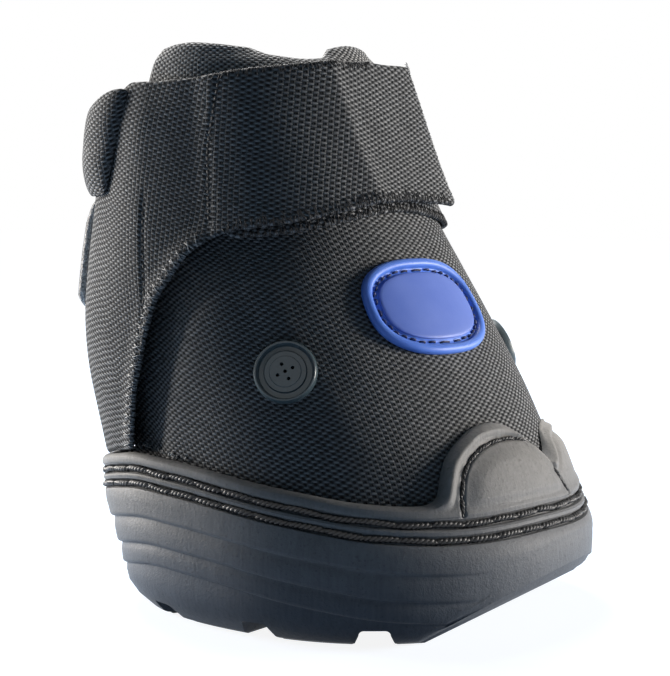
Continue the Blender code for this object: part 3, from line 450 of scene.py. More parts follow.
def tubes(name, paths, normals, radius, sides=6):
    """Round threads along paths. normals point away from the surface under them."""
    verts, faces = [], []
    angle = np.linspace(0, 2 * math.pi, sides, endpoint=False)[None, :, None]
    k = np.arange(sides)
    for path, out in zip(paths, normals):
        across, up = thread_axes(path, out)
        n = len(path)
        girth = np.full(n, radius)
        girth[[0, -1]] *= 0.45
        ring = np.cos(angle) * across[:, None] + np.sin(angle) * up[:, None]
        start = len(verts)
        verts += list((path[:, None] + ring * girth[:, None, None]).reshape(-1, 3))
        for a in range(start, start + (n - 1) * sides, sides):
            b = a + sides
            faces += [(a + s, b + s, b + (s + 1) % sides, a + (s + 1) % sides) for s in k]
        faces.append(tuple(start + k))
        faces.append(tuple(start + (n - 1) * sides + k[::-1]))
    obj = new_object(name, verts, faces)
    fix_normals(obj)
    return obj


def two_ply(path, normals, radius, twist):
    """Two strands wound round a path, as (paths, normals)."""
    across, up = thread_axes(path, normals)
    paths = []
    for phase in (0, math.pi):
        angle = (2 * math.pi * lengths(path) / twist + phase)[:, None]
        paths.append(path + 0.62 * radius * (np.cos(angle) * across + np.sin(angle) * up))
    return paths, [normals, normals]


def cut(obj, cutters, angle):
    """Cut holes and keep the edges sharper than the angle sharp."""
    for cutter in cutters:
        modifier = obj.modifiers.new("cut", "BOOLEAN")
        modifier.operation = "DIFFERENCE"
        modifier.object = cutter
        modifier.solver = "EXACT"
    depsgraph = bpy.context.evaluated_depsgraph_get()
    old = obj.data
    made = bpy.data.meshes.new_from_object(obj.evaluated_get(depsgraph))
    obj.modifiers.clear()
    obj.data = made
    bpy.data.meshes.remove(old)
    for cutter in cutters:
        bpy.data.objects.remove(cutter)
    obj.data.shade_smooth()
    obj.data.set_sharp_from_angle(angle=math.radians(angle))


def placing(axes, place):
    matrix = Matrix(axes).transposed().to_4x4()
    matrix.translation = place
    return matrix


# Materials
class Graph:
    """Short calls for building the nodes of one material or world."""

    def __init__(self, owner):
        owner.use_nodes = True
        self.owner = owner
        self.tree = owner.node_tree

    def node(self, kind, **settings):
        node = self.tree.nodes.new(kind)
        for key, value in settings.items():
            setattr(node, key, value)
        return node

    def link(self, source, target):
        self.tree.links.new(source, target)

    def put(self, socket, value):
        if isinstance(value, bpy.types.NodeSocket):
            self.link(value, socket)
        else:
            socket.default_value = value

    def math(self, operation, *values):
        node = self.node("ShaderNodeMath", operation=operation)
        for socket, value in zip(node.inputs, values):
            self.put(socket, value)
        return node.outputs[0]

    def add(self, a, b):
        return self.math("ADD", a, b)

    def times(self, first, *others):
        for value in others:
            first = self.math("MULTIPLY", first, value)
        return first

    def power(self, base, exponent):
        return self.math("POWER", base, exponent)

    def mix(self, share, a, b, way="MIX"):
        node = self.node("ShaderNodeMix", data_type="RGBA", blend_type=way)
        for k, value in ((0, share), (6, a), (7, b)):
            self.put(node.inputs[k], value)
        return node.outputs[2]

    def blend(self, share, a, b):
        node = self.node("ShaderNodeMix", data_type="FLOAT")
        for k, value in ((0, share), (2, a), (3, b)):
            self.put(node.inputs[k], value)
        return node.outputs[0]

    def noise(self, scale, detail=2.0, vector=None, rough=0.5):
        node = self.node("ShaderNodeTexNoise")
        for key, value in (("Scale", scale), ("Detail", detail), ("Roughness", rough),
                           ("Vector", self.position() if vector is None else vector)):
            self.put(node.inputs[key], value)
        return node.outputs["Fac"]

    def cells(self, scale, vector, randomness=1.0):
        node = self.node("ShaderNodeTexVoronoi", feature="F1")
        for key, value in (("Scale", scale), ("Randomness", randomness), ("Vector", vector)):
            self.put(node.inputs[key], value)
        return node.outputs["Distance"]

    def position(self):
        return self.node("ShaderNodeTexCoord").outputs["Object"]

    def cloth(self):
        return self.node("ShaderNodeUVMap", uv_map="weave").outputs[0]

    def split(self, vector):
        node = self.node("ShaderNodeSeparateXYZ")
        self.link(vector, node.inputs[0])
        return node.outputs

    def remap(self, value, low, high, to_low=0.0, to_high=1.0):
        node = self.node("ShaderNodeMapRange")
        for socket, v in zip(node.inputs, (value, low, high, to_low, to_high)):
            self.put(socket, v)
        return node.outputs[0]

    def bump(self, height, distance, strength=1.0, under=None):
        node = self.node("ShaderNodeBump")
        node.inputs["Distance"].default_value = distance
        node.inputs["Strength"].default_value = strength
        self.link(height, node.inputs["Height"])
        if under is not None:
            self.link(under, node.inputs["Normal"])
        return node.outputs["Normal"]

    def seen(self):
        """1 for rays from the camera, also by way of mirrors and clear pieces, else 0."""
        rays = self.node("ShaderNodeLightPath").outputs
        seen = self.math("MAXIMUM", rays["Is Camera Ray"], rays["Is Glossy Ray"])
        return self.math("MAXIMUM", seen, rays["Is Transmission Ray"])

    def finish(self, colour, rough, normal=None, **constants):
        inputs = self.tree.nodes["Principled BSDF"].inputs
        self.put(inputs["Base Color"], colour)
        self.put(inputs["Roughness"], rough)
        if normal is not None:
            self.link(normal, inputs["Normal"])
        for key, value in constants.items():
            self.put(inputs[key.replace("_", " ")], value)
        return self.owner


def new_graph(name):
    return Graph(bpy.data.materials.new(name))


def rgb(r, g, b):
    return (r, g, b, 1.0)


def weave_material(name, dark, light, wide=1.78, tall=0.97, thin=0.45):
    """Oxford-woven nylon: pairs of warp yarns crossed by single weft yarns, in cloth mm."""
    g = new_graph(name)
    uv = g.cloth()
    across, along = g.split(uv)[:2]
    drift = g.times(g.math("SUBTRACT", g.noise(0.16, 2.0, uv), 0.5), 0.9)
    a = g.math("DIVIDE", g.add(across, drift), wide)
    b = g.math("DIVIDE", g.math("SUBTRACT", along, drift), tall)
    cell_a, cell_b = g.math("FLOOR", a), g.math("FLOOR", b)
    over = g.times(g.math("FRACT", g.times(g.add(cell_a, cell_b), 0.5)), 2.0)
    fa, fb = g.math("FRACT", a), g.math("FRACT", b)
    arch_a, arch_b = g.math("SINE", g.times(fa, math.pi)), g.math("SINE", g.times(fb, math.pi))
    pair = g.math("ABSOLUTE", g.math("SINE", g.times(fa, 2 * math.pi)))
    weft = g.times(g.power(arch_b, thin), g.power(arch_a, 0.22))
    warp = g.times(g.power(pair, 0.5), g.power(arch_b, 0.5), g.power(arch_a, 0.35))
    height = g.blend(over, g.times(warp, 0.62), weft)
    off_a, off_b = (g.power(g.math("ABSOLUTE", g.math("SUBTRACT", f, 0.5)), 2.0) for f in (fa, fb))
    under = g.remap(g.add(g.times(off_a, 4.4), g.times(off_b, 3.0)), 0.25, 1.0, 0.03, 0.58)
    seed = g.node("ShaderNodeCombineXYZ")
    g.link(cell_a, seed.inputs[0])
    g.link(cell_b, seed.inputs[1])
    random = g.node("ShaderNodeTexWhiteNoise", noise_dimensions="3D")
    g.link(seed.outputs[0], random.inputs["Vector"])
    vary = g.remap(random.outputs["Value"], 0.0, 1.0, 0.78, 1.12)
    fibre = g.noise(5.5, 2.0, uv)
    patch = g.remap(g.noise(38.0, 3.0), 0.3, 0.7, 0.88, 1.10)
    # Painted light and shade: the tone rises with the yarns' arch, so the crests carry a painted
    # sheen and the yarn edges painted shade. The dark holes are the weave's own open pattern with
    # painted shade in them. vary, patch and fibre are the cloth's own uneven tone.
    tone = g.times(g.power(g.blend(over, under, weft), 1.3), vary, patch,
                   g.remap(fibre, 0.3, 0.7, 0.9, 1.1))
    normal = g.bump(g.add(height, g.times(fibre, 0.10)), 0.45 * MM)
    rough = g.remap(height, 0.0, 1.0, 0.85, 0.50)
    return g.finish(g.mix(tone, dark, light), rough, normal, Specular_IOR_Level=0.07)


def rubber_material(name, colour, worn, rough=0.50, grain=0.8, specular=0.20, foot=None):
    """Moulded rubber: fine grain, dusty wear and slightly uneven gloss.

    foot is a painted blue shade multiplied into the part near the ground, so the rubber gets darker
    and bluer towards the bottom, standing in for shade and blue bounce light there.
    """
    g = new_graph(name)
    fine = g.noise(2100.0, 3.0, rough=0.6)
    grit = g.noise(950.0, 2.0)
    blotch = g.noise(34.0, 4.0)
    stretched = g.node("ShaderNodeMapping")
    stretched.inputs["Scale"].default_value = (900.0, 900.0, 70.0)
    g.link(g.position(), stretched.inputs["Vector"])
    streak = g.noise(1.0, 3.0, stretched.outputs[0])
    tone = g.blend(0.35, g.remap(blotch, 0.32, 0.68), g.remap(streak, 0.35, 0.65))
    base = g.mix(g.remap(grit, 0.60, 0.74, 0.0, 0.45), g.mix(tone, colour, worn),
                 rgb(*(c * 0.45 for c in colour[:3])))
    # Painted shade: the part near the ground is multiplied by the foot tint, darker and bluer
    # towards the bottom.
    if foot:
        risen = g.remap(g.split(g.position())[2], 2 * MM, 56 * MM)
        base = g.mix(1.0, base, g.mix(risen, foot, rgb(1, 1, 1)), "MULTIPLY")
    normal = g.bump(g.add(g.times(fine, 0.5), g.times(grit, 0.7)), 0.24 * MM, grain)
    broad = g.bump(g.noise(120.0, 2.0), 0.5 * MM, 0.25, normal)
    gloss = g.remap(blotch, 0.3, 0.7, rough - 0.05, rough + 0.08)
    return g.finish(base, gloss, broad, Specular_IOR_Level=specular)


def knit(g, scale):
    dot = g.remap(g.cells(0.62, g.cloth(), 0.18), 0.0, 0.6, 1.0, 0.0)
    fuzz = g.noise(scale, 3.0)
    return g.times(dot, g.remap(fuzz, 0.3, 0.7, 0.6, 1.2)), g.add(dot, g.times(fuzz, 0.5))


def yarn(g, scale):
    fibre = g.noise(scale, 3.0)
    patch = g.remap(g.noise(scale * 0.1, 2.0), 0.35, 0.65, 0.35, 1.0)
    return g.times(g.remap(fibre, 0.3, 0.7), patch), fibre


def foam(g, scale):
    cells = g.cells(scale, g.position())
    speck = g.remap(g.noise(scale * 0.8, 2.0), 0.35, 0.65)
    return g.times(g.remap(cells, 0.1, 0.6, 0.1, 1.0), speck), cells


def tape(g, scale):
    tuft = g.noise(scale, 4.0, rough=0.7)
    row = g.remap(g.noise(scale * 0.25, 2.0), 0.3, 0.7, 0.5, 1.0)
    return g.times(g.remap(tuft, 0.4, 0.65), row), tuft


# Relief's depth (mm) and strength, roughness and specular level of each kind
SOFT_KINDS = {knit: (0.5, 0.8, 0.88, 0.1), yarn: (0.2, 0.7, 0.5, 0.35),
              foam: (0.35, 0.8, 0.85, 0.3), tape: (0.8, 1.0, 0.8, 0.15)}


def soft_material(name, kind, scale, dark, light, rough=None):
    """A material whose tone and relief come from one of the kinds."""
    depth, strength, kind_rough, specular = SOFT_KINDS[kind]
    g = new_graph(name)
    tone, height = kind(g, scale)
    return g.finish(g.mix(tone, rgb(*dark), rgb(*light)), rough or kind_rough,
                    g.bump(height, depth * MM, strength), Specular_IOR_Level=specular)


def badge_material(name, colour, pale):
    g = new_graph(name)
    blotch = g.noise(90.0, 3.0)
    base = g.mix(g.remap(blotch, 0.3, 0.7), colour, pale)
    normal = g.bump(g.noise(1500.0, 2.0), 0.06 * MM, 0.5)
    return g.finish(base, g.remap(blotch, 0.3, 0.7, 0.38, 0.46), normal, Specular_IOR_Level=0.3)


# The shell's foot tint is a painted blue shade, darker and bluer towards the ground.
RUBBER = rubber_material("shell_rubber", rgb(0.180, 0.177, 0.173), rgb(0.282, 0.275, 0.264),
                         specular=0.13, foot=rgb(0.30, 0.39, 0.54))
CAP_RUBBER = rubber_material("vent_rubber", rgb(0.040, 0.066, 0.078), rgb(0.060, 0.086, 0.098),
                             rough=0.28, grain=0.2, specular=0.5)
# Each nylon's light colour is a painted sheen on the yarn crests of near-black cloth, and its dark
# colour is deepened by painted shade; the tongue's painted sheen is brighter.
FABRIC = weave_material("ballistic_nylon", rgb(0.003, 0.004, 0.005), rgb(0.31, 0.312, 0.316))
STRAP_FABRIC = weave_material("strap_nylon", rgb(0.003, 0.004, 0.005), rgb(0.31, 0.312, 0.316),
                              wide=1.10, tall=1.34, thin=1.1)
TONGUE_FABRIC = weave_material("tongue_nylon", rgb(0.008, 0.009, 0.011),
                               rgb(0.60, 0.602, 0.605), wide=1.6, tall=0.95)
LINING, THREAD, OVERLOCK, DARK_THREAD, BADGE_THREAD, HOOK, LOOP, INSOLE, LAMINATE = (
    soft_material(*row) for row in (
        ("padded_lining", knit, 1400.0, (0.010, 0.010, 0.011), (0.045, 0.045, 0.048)),
        ("waxed_thread", yarn, 2600.0, (0.005, 0.005, 0.006), (0.040, 0.040, 0.042), 0.36),
        ("overlock_thread", yarn, 2600.0, (0.14, 0.142, 0.146), (0.62, 0.62, 0.62)),
        ("dark_thread", yarn, 2600.0, (0.006, 0.006, 0.007), (0.035, 0.035, 0.037)),
        ("badge_thread", yarn, 2600.0, (0.006, 0.010, 0.05), (0.02, 0.04, 0.16)),
        ("hook_tape", tape, 1500.0, (0.008, 0.008, 0.009), (0.06, 0.06, 0.062)),
        ("loop_tape", tape, 900.0, (0.010, 0.010, 0.011), (0.05, 0.05, 0.052)),
        ("insole_foam", foam, 1100.0, (0.030, 0.030, 0.033), (0.075, 0.075, 0.080)),
        ("laminate_foam", foam, 1500.0, (0.26, 0.255, 0.25), (0.86, 0.84, 0.82))))
BADGE = badge_material("badge_blue", rgb(0.090, 0.220, 0.780), rgb(0.120, 0.260, 0.820))
PANEL_BLUE = badge_material("badge_panel", rgb(0.110, 0.190, 0.620), rgb(0.140, 0.225, 0.660))


def dress(obj, material, body, nodes=()):
    obj.data.materials.clear()
    obj.data.materials.append(material)
    if body:
        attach(obj, body)
    if nodes:
        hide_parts(*nodes)
    return obj


# The rubber shell
def far_lobe_thins(turn):
    """How much the far lobe thins out towards its upper edge."""
    return 2.6 * MM * ease(turn, 17, 25) * (1 - ease(turn, 50, 58))


def shell_rows(turn):
    """Heights and insets up the shell's side, as arrays of rows by columns."""
    side = wrap(turn)
    fade = np.where(side < 0, ease(-side, 16, 46), ease(side, 40, 72))
    rim_side, crest, floor = side_rim(turn), rim(turn), tread(turn)
    step = 0.85 * MM * fade
    round_by = (1 + 1.5 * hump(side, 20, 75)) * MM
    rows = []
    for rise, inset in FOOT_PROFILE:
        foot = on_shell(turn, floor, inset * round_by)
        rows.append((bevel(foot[..., 0], foot[..., 1]) + rise * round_by, inset * round_by))
    last = floor + 1.2 * round_by
    for k, (drop, least) in enumerate(reversed(BANDS)):
        line = np.maximum(rim_side - drop, floor + least + 1.2 * (round_by - MM))
        for share in (0.3, 0.6, 0.85):
            swell = step * share ** 1.3 - 0.45 * MM * fade * math.sin(math.pi * share)
            if k == 0:
                swell = swell * 0.9 + 0.25 * MM * (1 - share) ** 2
            rows.append((last + (line - 1.0 * MM - last) * share, swell))
        rows += [(line + rise * MM, step * share) for rise, share in STEP_PROFILE]
        last = line + 1.3 * MM
    plain_end = rim_side - GROOVE_DROPS[0] - 3.5 * MM
    rows += [(last + (plain_end - last) * share, -0.35 * MM * math.sin(math.pi * share))
             for share in (0.25, 0.5, 0.75, 0.93)]
    for k, drop in enumerate(GROOVE_DROPS):
        rows += [(rim_side - drop + rise * MM, inset * MM) for rise, inset in GROOVE_PROFILE]
        if k == 0:
            rows.append((rim_side - drop + 1.0 * MM, -0.22 * MM))
    base = rim_side - GROOVE_DROPS[1] + 0.50 * MM
    count = 46
    for i in range(1, count):
        rise = (crest - 1.1 * MM - base) * i / count
        rows.append((base + rise, -0.45 * MM * np.exp(-((rise / MM - 0.9) / 1.7) ** 2)))
    return np.array([r[0] + 0 * turn for r in rows]), np.array([r[1] + 0 * turn for r in rows])


def cap_seam(share):
    """The toe cap's stitched line as (turns, heights)."""
    steps = np.hypot(np.diff(CAP_SEAM[:, 0]) * MM_PER_TURN_AT_CAP, np.diff(CAP_SEAM[:, 1]))
    at = np.concatenate(([0], np.cumsum(steps))) / steps.sum()
    return through(share, at, CAP_SEAM[:, 0]), through(share, at, CAP_SEAM[:, 1]) * MM


def cap_shape(turn, height):
    """How far the toe cap's border, dome and seam stand from the shell's face (metres)."""
    at = np.linspace(CAP_START - 7, CAP_END + 7, 600)
    points = shell(turn, height)
    to_outline = nearest(points, shell(at, rim(at)))
    to_seam = nearest(points, shell(*cap_seam(np.linspace(0, 1, 300))))
    level = height - side_rim(turn)
    above = ease(level, -1.5 * MM, 2.0 * MM) * (1 - ease(beside_cap(turn), 4, 9))
    top = np.argmax(CAP_SEAM[:, 1])
    z = np.clip(height / MM, CAP_SEAM_LOW, CAP_SEAM_HIGH)
    left = np.interp(z, CAP_SEAM[:top + 1, 1], CAP_SEAM[:top + 1, 0])
    right = np.interp(-z, -CAP_SEAM[top:, 1], CAP_SEAM[top:, 0])
    inside = (turn > left) & (turn < right) & (height < CAP_SEAM_HIGH * MM)
    border = 1.00 * MM * hump(to_outline, 2.0 * MM, 2.6 * MM) * above
    border = border - 0.25 * MM * hump(to_outline, 4.6 * MM, 2.0 * MM) * above * ~inside
    groove = 1.25 * MM * hump(to_seam, 0.0, 1.25 * MM) * ease(level, -3.4 * MM, -2.6 * MM)
    dome = 1.05 * MM * ease(to_seam, 0.5 * MM, 8.0 * MM) * above * inside
    near_crest = 1 - ease(rim(turn) - height, 0, 9 * MM)
    return border - groove + dome - far_lobe_thins(turn) * near_crest


def lug_outline():
    """A tread gap's outline: its right half from the foot up, then the left half back down."""
    half = [(LUG_WIDTH / 2 + 1.5 * MM, -4 * MM), (LUG_WIDTH / 2 + 1.1 * MM, 0),
            (LUG_WIDTH / 2 + 0.25 * MM, 1.0 * MM)]
    for k in range(5):
        a = math.pi / 2 * k / 4
        half.append((LUG_WIDTH * 0.42 - LUG_CORNER + LUG_CORNER * math.cos(a),
                     LUG_DEPTH - LUG_CORNER + LUG_CORNER * math.sin(a)))
    return half + [(-x, z) for x, z in reversed(half)]


def lug_cutters():
    outline = lug_outline()
    n = len(outline)
    cutters = []
    for turn in sorted({(s * t) % 360 for t in LUG_TURNS for s in (-1, 1)}):
        verts = [(x, -4 * MM, z) for x, z in outline]
        verts += [(x, LUG_LENGTH - z, z) for x, z in outline]
        faces = [tuple(range(n)), tuple(range(2 * n - 1, n - 1, -1))]
        faces += [(i, (i + 1) % n, n + (i + 1) % n, n + i) for i in range(n)]
        cutter = new_object("cutter", verts, faces)
        edge = shell(np.array(turn), np.array(LUG_DEPTH))
        foot = Vector((edge[0], edge[1], 0))
        inward = (Vector((0, CENTRE_SHIFT - 20.0 * MM, 0)) - foot).normalized()
        cutter.data.transform(placing((inward.cross(UP), inward, UP), foot))
        fix_normals(cutter)
        cutters.append(cutter)
    return cutters


def make_shell():
    turn = np.concatenate((np.linspace(-36, 60, 241), np.linspace(60, 324, 221)[1:-1]))
    heights, insets = shell_rows(turn)
    t = np.broadcast_to(wrap(turn), heights.shape)
    near = (wrap(turn) > -38) & (wrap(turn) < 66)
    shape = np.zeros(heights.shape)
    shaped = slice(heights.shape[0] - 60, None)
    shape[shaped, near] = cap_shape(t[shaped][:, near], heights[shaped][:, near])
    side = on_shell(turn, heights, insets - shape)
    crest = rim(turn)
    outer_top = on_shell(turn, crest, far_lobe_thins(wrap(turn)))
    inner_top = boot(turn, crest, GAP)
    top = [outer_top * (1 - s) + inner_top * s + np.array((0, 0, -drop * MM))
           for s, drop in ((0.12, 0.35), (0.35, 0.0), (0.65, 0.0), (0.88, 0.3))]
    lining_top = crest - 1.2 * MM
    down = [boot(turn, lining_top, GAP)]
    for share in (0.66, 0.33, 0.0):
        down.append(boot(turn, SOLE_TOP + (lining_top - SOLE_TOP) * share, 0.9 * MM))
    under = []
    for share in (0.28, 0.55, 0.8, 0.94, 0.985):
        x, y = side[0, :, 0] * share, side[0, :, 1] * share
        under.append(np.stack((x, y, bevel(x, y)), -1))
    obj = closed_body("shell", np.concatenate((under, side, top, down)))
    cut(obj, lug_cutters(), 42)
    return obj


dress(make_shell(), RUBBER, "foot_unit", ["sole_shell"])


def rim_stitches(drop, seed):
    """One lockstitched row below the rim: a two-ply thread that dips at each hole."""
    rng = np.random.default_rng(seed)
    share = np.linspace(0, 1, RIM_STITCHES * 15 + 1)
    turn = 360 * share
    beat = share * RIM_STITCHES
    crown = np.abs(np.sin(math.pi * beat)) ** 0.32
    sway = 0.12 * MM * np.sin(math.pi * beat + rng.uniform(0, 6))
    z = side_rim(turn) - drop + sway + 0.16 * MM * noise(beat, 0 * beat, seed, 2.3)
    lift = -1.55 * MM + (1.0 + 0.25 * noise(beat, 0 * beat, seed + 9, 3.1)) * MM * crown
    return two_ply(on_shell(turn, z, -lift), outward(shell, turn, z), 0.85 * MM, 3.4 * MM)


def cap_stitches():
    share = np.linspace(0.0, 1.0, CAP_STITCHES * 16 + 1)
    turn, z = cap_seam(share)
    crown = np.abs(np.sin(math.pi * CAP_STITCHES * share)) ** 0.55
    path = on_shell(turn, z, 1.15 * MM - 1.0 * MM * crown)
    return two_ply(path, outward(shell, turn, z), 0.5 * MM, 3.2 * MM)


for label, drop, seed in (("upper", 5.0 * MM, 3), ("lower", 9.8 * MM, 4)):
    row = tubes(f"rim_stitches_{label}", *rim_stitches(drop, seed), 0.68 * MM)
    dress(row, THREAD, "foot_unit", [f"rim_thread_{label}"])
row = tubes("toe_cap_stitches", *cap_stitches(), 0.42 * MM)
dress(row, THREAD, "foot_unit", ["toe_cap_thread"])


# Insole
def make_insole():
    """The insole's foam, with a pattern of small dimples on its top."""
    bottom, top = SOLE_TOP + GAP, SOLE_TOP + GAP + 5.0 * MM
    turn = np.linspace(0, 360, 145)[:-1]
    levels = [(0.5, bottom, 1.2), (0.97, bottom, 0.9), (1, bottom + 0.5 * MM, 0.2),
              (1, bottom + 1.5 * MM, 0), (1, top - 1.2 * MM, 0), (1, top - 0.35 * MM, 0.25),
              (0.985, top, 0.9), (0.9, top, 1.2)]
    levels += [(share, top, 1.2) for share in np.linspace(0.86, 0.06, 22)]
    rings = []
    for k, (share, z, inset) in enumerate(levels):
        ring = boot(turn, z, -6.7 * MM - inset * MM)
        ring[:, :2] *= share
        ring[:, 2] = z
        if k >= 8:
            waves = np.sin(ring[:, 0] / (2.2 * MM)) * np.sin(ring[:, 1] / (2.2 * MM))
            ring[:, 2] -= 0.35 * MM * (waves > 0.35)
        rings.append(ring)
    return closed_body("insole", rings)


insole = dress(make_insole(), INSOLE, "foot_unit", ["insole_pad"])


# Front panel and linings
def recess(turn, height):
    """The front panel is drawn in where the near wing crosses it."""
    covered = height > wing_low(turn)
    depth = np.where(covered, 1.0, 1 - ease(wing_edge_distance(turn, height), 0, 19 * MM))
    return depth * ease(-wrap(turn), 30, 75)


def vamp_relief(turn, height):
    """The front panel's swells, its dimples under the vents, one fold and the drawn-in part."""
    x = np.radians(wrap(turn)) * VAMP_RADIUS
    swell = 0.55 * MM * noise(x, height, 11, 60 * MM) * ease(height, 55 * MM, 75 * MM)
    vent = np.hypot((np.abs(wrap(turn)) - VENT_TURN) * 1.16 * MM, height - VENT_HEIGHT)
    dimple = 0.5 * MM * hump(vent, 0, 19 * MM)
    fold = 0.8 * MM * hump(x + 0.30 * (height - 90 * MM), -58 * MM, 9 * MM)
    fold = fold * hump(height, 95 * MM, 45 * MM)
    return swell - dimple + fold - 4.2 * MM * recess(turn, height)


def wing_foot(turn):
    return rim(turn) + 1.0 * MM


vamp = panel("vamp", (-PANEL_TURN, PANEL_TURN), UPPER_FOOT, PANEL_TOP,
             lambda t, z: vamp_relief(t, z) - 1.4 * MM, vamp_relief, (170, 90))
dress(vamp, FABRIC, "foot_unit", ["vamp_panel"])
vamp_pad = panel("vamp_padding", (-PANEL_TURN, PANEL_TURN), UPPER_FOOT, PANEL_TOP,
                 lambda t, z: -5.5 * MM + np.minimum(vamp_relief(t, z), 0) * 0.8,
                 lambda t, z: -2.6 * MM + np.minimum(vamp_relief(t, z), 0.3 * MM),
                 (90, 50), 1.7 * MM)
dress(vamp_pad, LINING, "foot_unit", ["vamp_lining"])
heel_foot = panel("heel_foot_padding", HEEL_PAD_TURNS, UPPER_FOOT, lambda t: rim(t) - GAP,
                  -3.4 * MM, -0.1 * MM, (60, 14))
dress(heel_foot, LINING, "foot_unit", ["heel_foot"])
heel_pad = panel("heel_padding", HEEL_PAD_TURNS, wing_foot, HEEL_TOP,
                 lambda t, z: -3.8 * MM - 0.8 * MM * hump(z, 115 * MM, 50 * MM),
                 -0.4 * MM, (60, 50))
dress(heel_pad, LINING, "heel_unit", ["heel_lining"])


# Tongue and heel roll
def roll_ends(us, length, reach):
    """0 at a roll's two ends and 1 from reach onwards, as a column."""
    return 1 - quarter_circle(np.minimum(us, 1 - us) * length / reach)[:, None]


def roll_round(ring):
    """Cosines and sines round a roll's section, from its inner side."""
    angle = np.linspace(math.pi, 3 * math.pi, ring, endpoint=False)
    return np.cos(angle), np.sin(angle)


def roll_body(name, t, z, lift, middle_radius):
    points = boot(t, z, lift)
    uvs = np.stack((np.radians(t) * middle_radius, lengths(points, 1) / MM), -1)
    return closed_body(name, points, uvs=uvs)


def make_tongue():
    us = edge_spaced(150, 190 * MM, 5 * MM)
    turn = -101 + 202 * us
    end = roll_ends(us, 190, 5.0)
    c, s = roll_round(40)
    low, high = 150.6 * MM, through(turn, TONGUE_TOP[:, 0], TONGUE_TOP[:, 1] * MM)[:, None]
    z = (low + high) / 2 + (high - low) / 2 * signed_power(s, 0.75)[None] * (0.25 + 0.75 * end)
    pinch = 1 - 0.35 * hump(z, 152 * MM, 20 * MM)
    puff = 1 + 0.08 * noise(turn[:, None] * 1.1, z / MM, 21, 46.0)
    lift = -5.3 * MM + 5.0 * MM * signed_power(c, 0.8)[None] * pinch * puff * (0.1 + 0.9 * end)
    return roll_body("tongue", np.broadcast_to(turn[:, None], z.shape), z, lift, 55.0)


def make_heel_roll():
    us = edge_spaced(150, 175 * MM, 12 * MM)
    end = roll_ends(us, 175, 15.0)
    c, s = roll_round(44)
    out = np.where(c > 0, np.abs(c) ** 0.85, -np.abs(c) ** 0.35)[None]
    back = ease(us * 175, 0, 30) * ease((1 - us) * 175, 0, 30)
    low, top = 140.7 * MM, (178.5 - 6.0 * back[:, None]) * MM
    z = (top + low) / 2 + (top - low) / 2 * signed_power(s, 0.9)[None] * (0.93 + 0.07 * end)
    first = 115.0 - 13.0 * np.clip((z - 140.5 * MM) / (40 * MM), 0, 1)
    t = first + (360 - 2 * first) * us[:, None]
    crease = 0.9 * MM * hump(z, 158 * MM, 5 * MM) * hump(np.abs(wrap(t)), 118, 16)
    puff = 1 + 0.10 * noise(t * 1.0, z / MM, 31, 40.0)
    taper = 1 - np.clip((z - low) / (17 * MM), 0, 1)
    half = 2.75 * MM * (0.10 + 0.90 * end) * (0.14 + 0.86 * np.sqrt(1 - taper ** 2))
    lift = 3.65 * MM + half * (1 + out * np.where(out > 0, puff, 1)) - crease * (out > 0)
    return roll_body("heel_roll", t, z, lift, 58.0)


tongue = dress(make_tongue(), TONGUE_FABRIC, "foot_unit", ["tongue_collar"])
heel_roll = dress(make_heel_roll(), FABRIC, "heel_unit", ["heel_collar"])

# Heel, wings, strap and flap
heel = panel("heel_panel_cloth", HEEL_TURNS, wing_foot, HEEL_TOP, 0.5 * MM, 2.3 * MM, (60, 80))
dress(heel, FABRIC, "heel_unit", ["heel_panel"])


def wing_top(turn):
    share = ease(np.abs(turn), 102, 115)
    return wing_high(turn) + (HEEL_TOP - wing_high(turn)) * share


def corner(turn, end_turn, size):
    """How far a rounded corner of this size has risen at a turn."""
    distance = np.radians(np.abs(end_turn - turn)) * CORNER_RADIUS
    inside = np.clip(size - distance, 0, size)
    return size - np.sqrt(size ** 2 - inside ** 2)


def seam_turn(height):
    return through(np.asarray(height) / MM, WING_SEAM[:, 0], WING_SEAM[:, 1])


def step_turn(height):
    """Where the strap's cloth steps up over the flap."""
    return np.interp(height, STEP_HEIGHTS, STEP_TURNS)


def strap_form(turn, height):
    """The strap's inner lift over the boot: wing, climb over the flap, two flat faces."""
    climb = 0.36 * ease(turn, -73, -63.5) + 0.64 * ease(turn, -68, -48)
    valley = 0.40 * MM * np.exp(-((turn - step_turn(height)) / 1.2) ** 2)
    over = 0.5 * MM + 4.5 * MM * climb - valley
    spread = 2.4 * MM * ease(turn, 8, 28)
    fold_at = np.interp(height, FOLD_HEIGHTS, FOLD_TURNS)
    away = np.sqrt((turn - fold_at) ** 2 + 1.6 ** 2) - 1.6
    reach = np.where(turn < fold_at, 13.0, 5.5)
    crease = 2.8 * MM * np.exp(-away / reach) * ease(turn, -60, -40)
    x = np.radians(turn) * STRAP_RADIUS
    soft = 0.35 * MM * noise(x, height, 41, 45 * MM) * ease(turn, -67, -50)
    return over + spread + crease + np.maximum(soft, -0.05 * MM)


def right_inner(turn, height):
    """The strap's form, the wing's curled edge and puff, and the pinch at its seam."""
    near = 1 - ease(wing_edge_distance(turn, height), 0, 9 * MM)
    curl = 1.2 * MM * near * ease(-turn, 62, 80)
    pinch = 0.55 * MM * hump((turn - seam_turn(height)) * 1.15 * MM, 0, 2.2 * MM)
    pinch = pinch * ease(-turn, 80, 86) * (1 - ease(height, 136 * MM, 146 * MM))
    x = np.radians(turn) * STRAP_RADIUS
    soft = 0.27 * MM * (1 + noise(x, height, 43, 50 * MM)) * ease(-turn, 84, 96)
    puff = 2.2 * MM * hump(turn, -97, 24) * ease(height, 95 * MM, 135 * MM)
    puff = puff * (1 - 0.7 * ease(height, 165 * MM, 180 * MM))
    return strap_form(turn, height) + curl + soft + puff - pinch


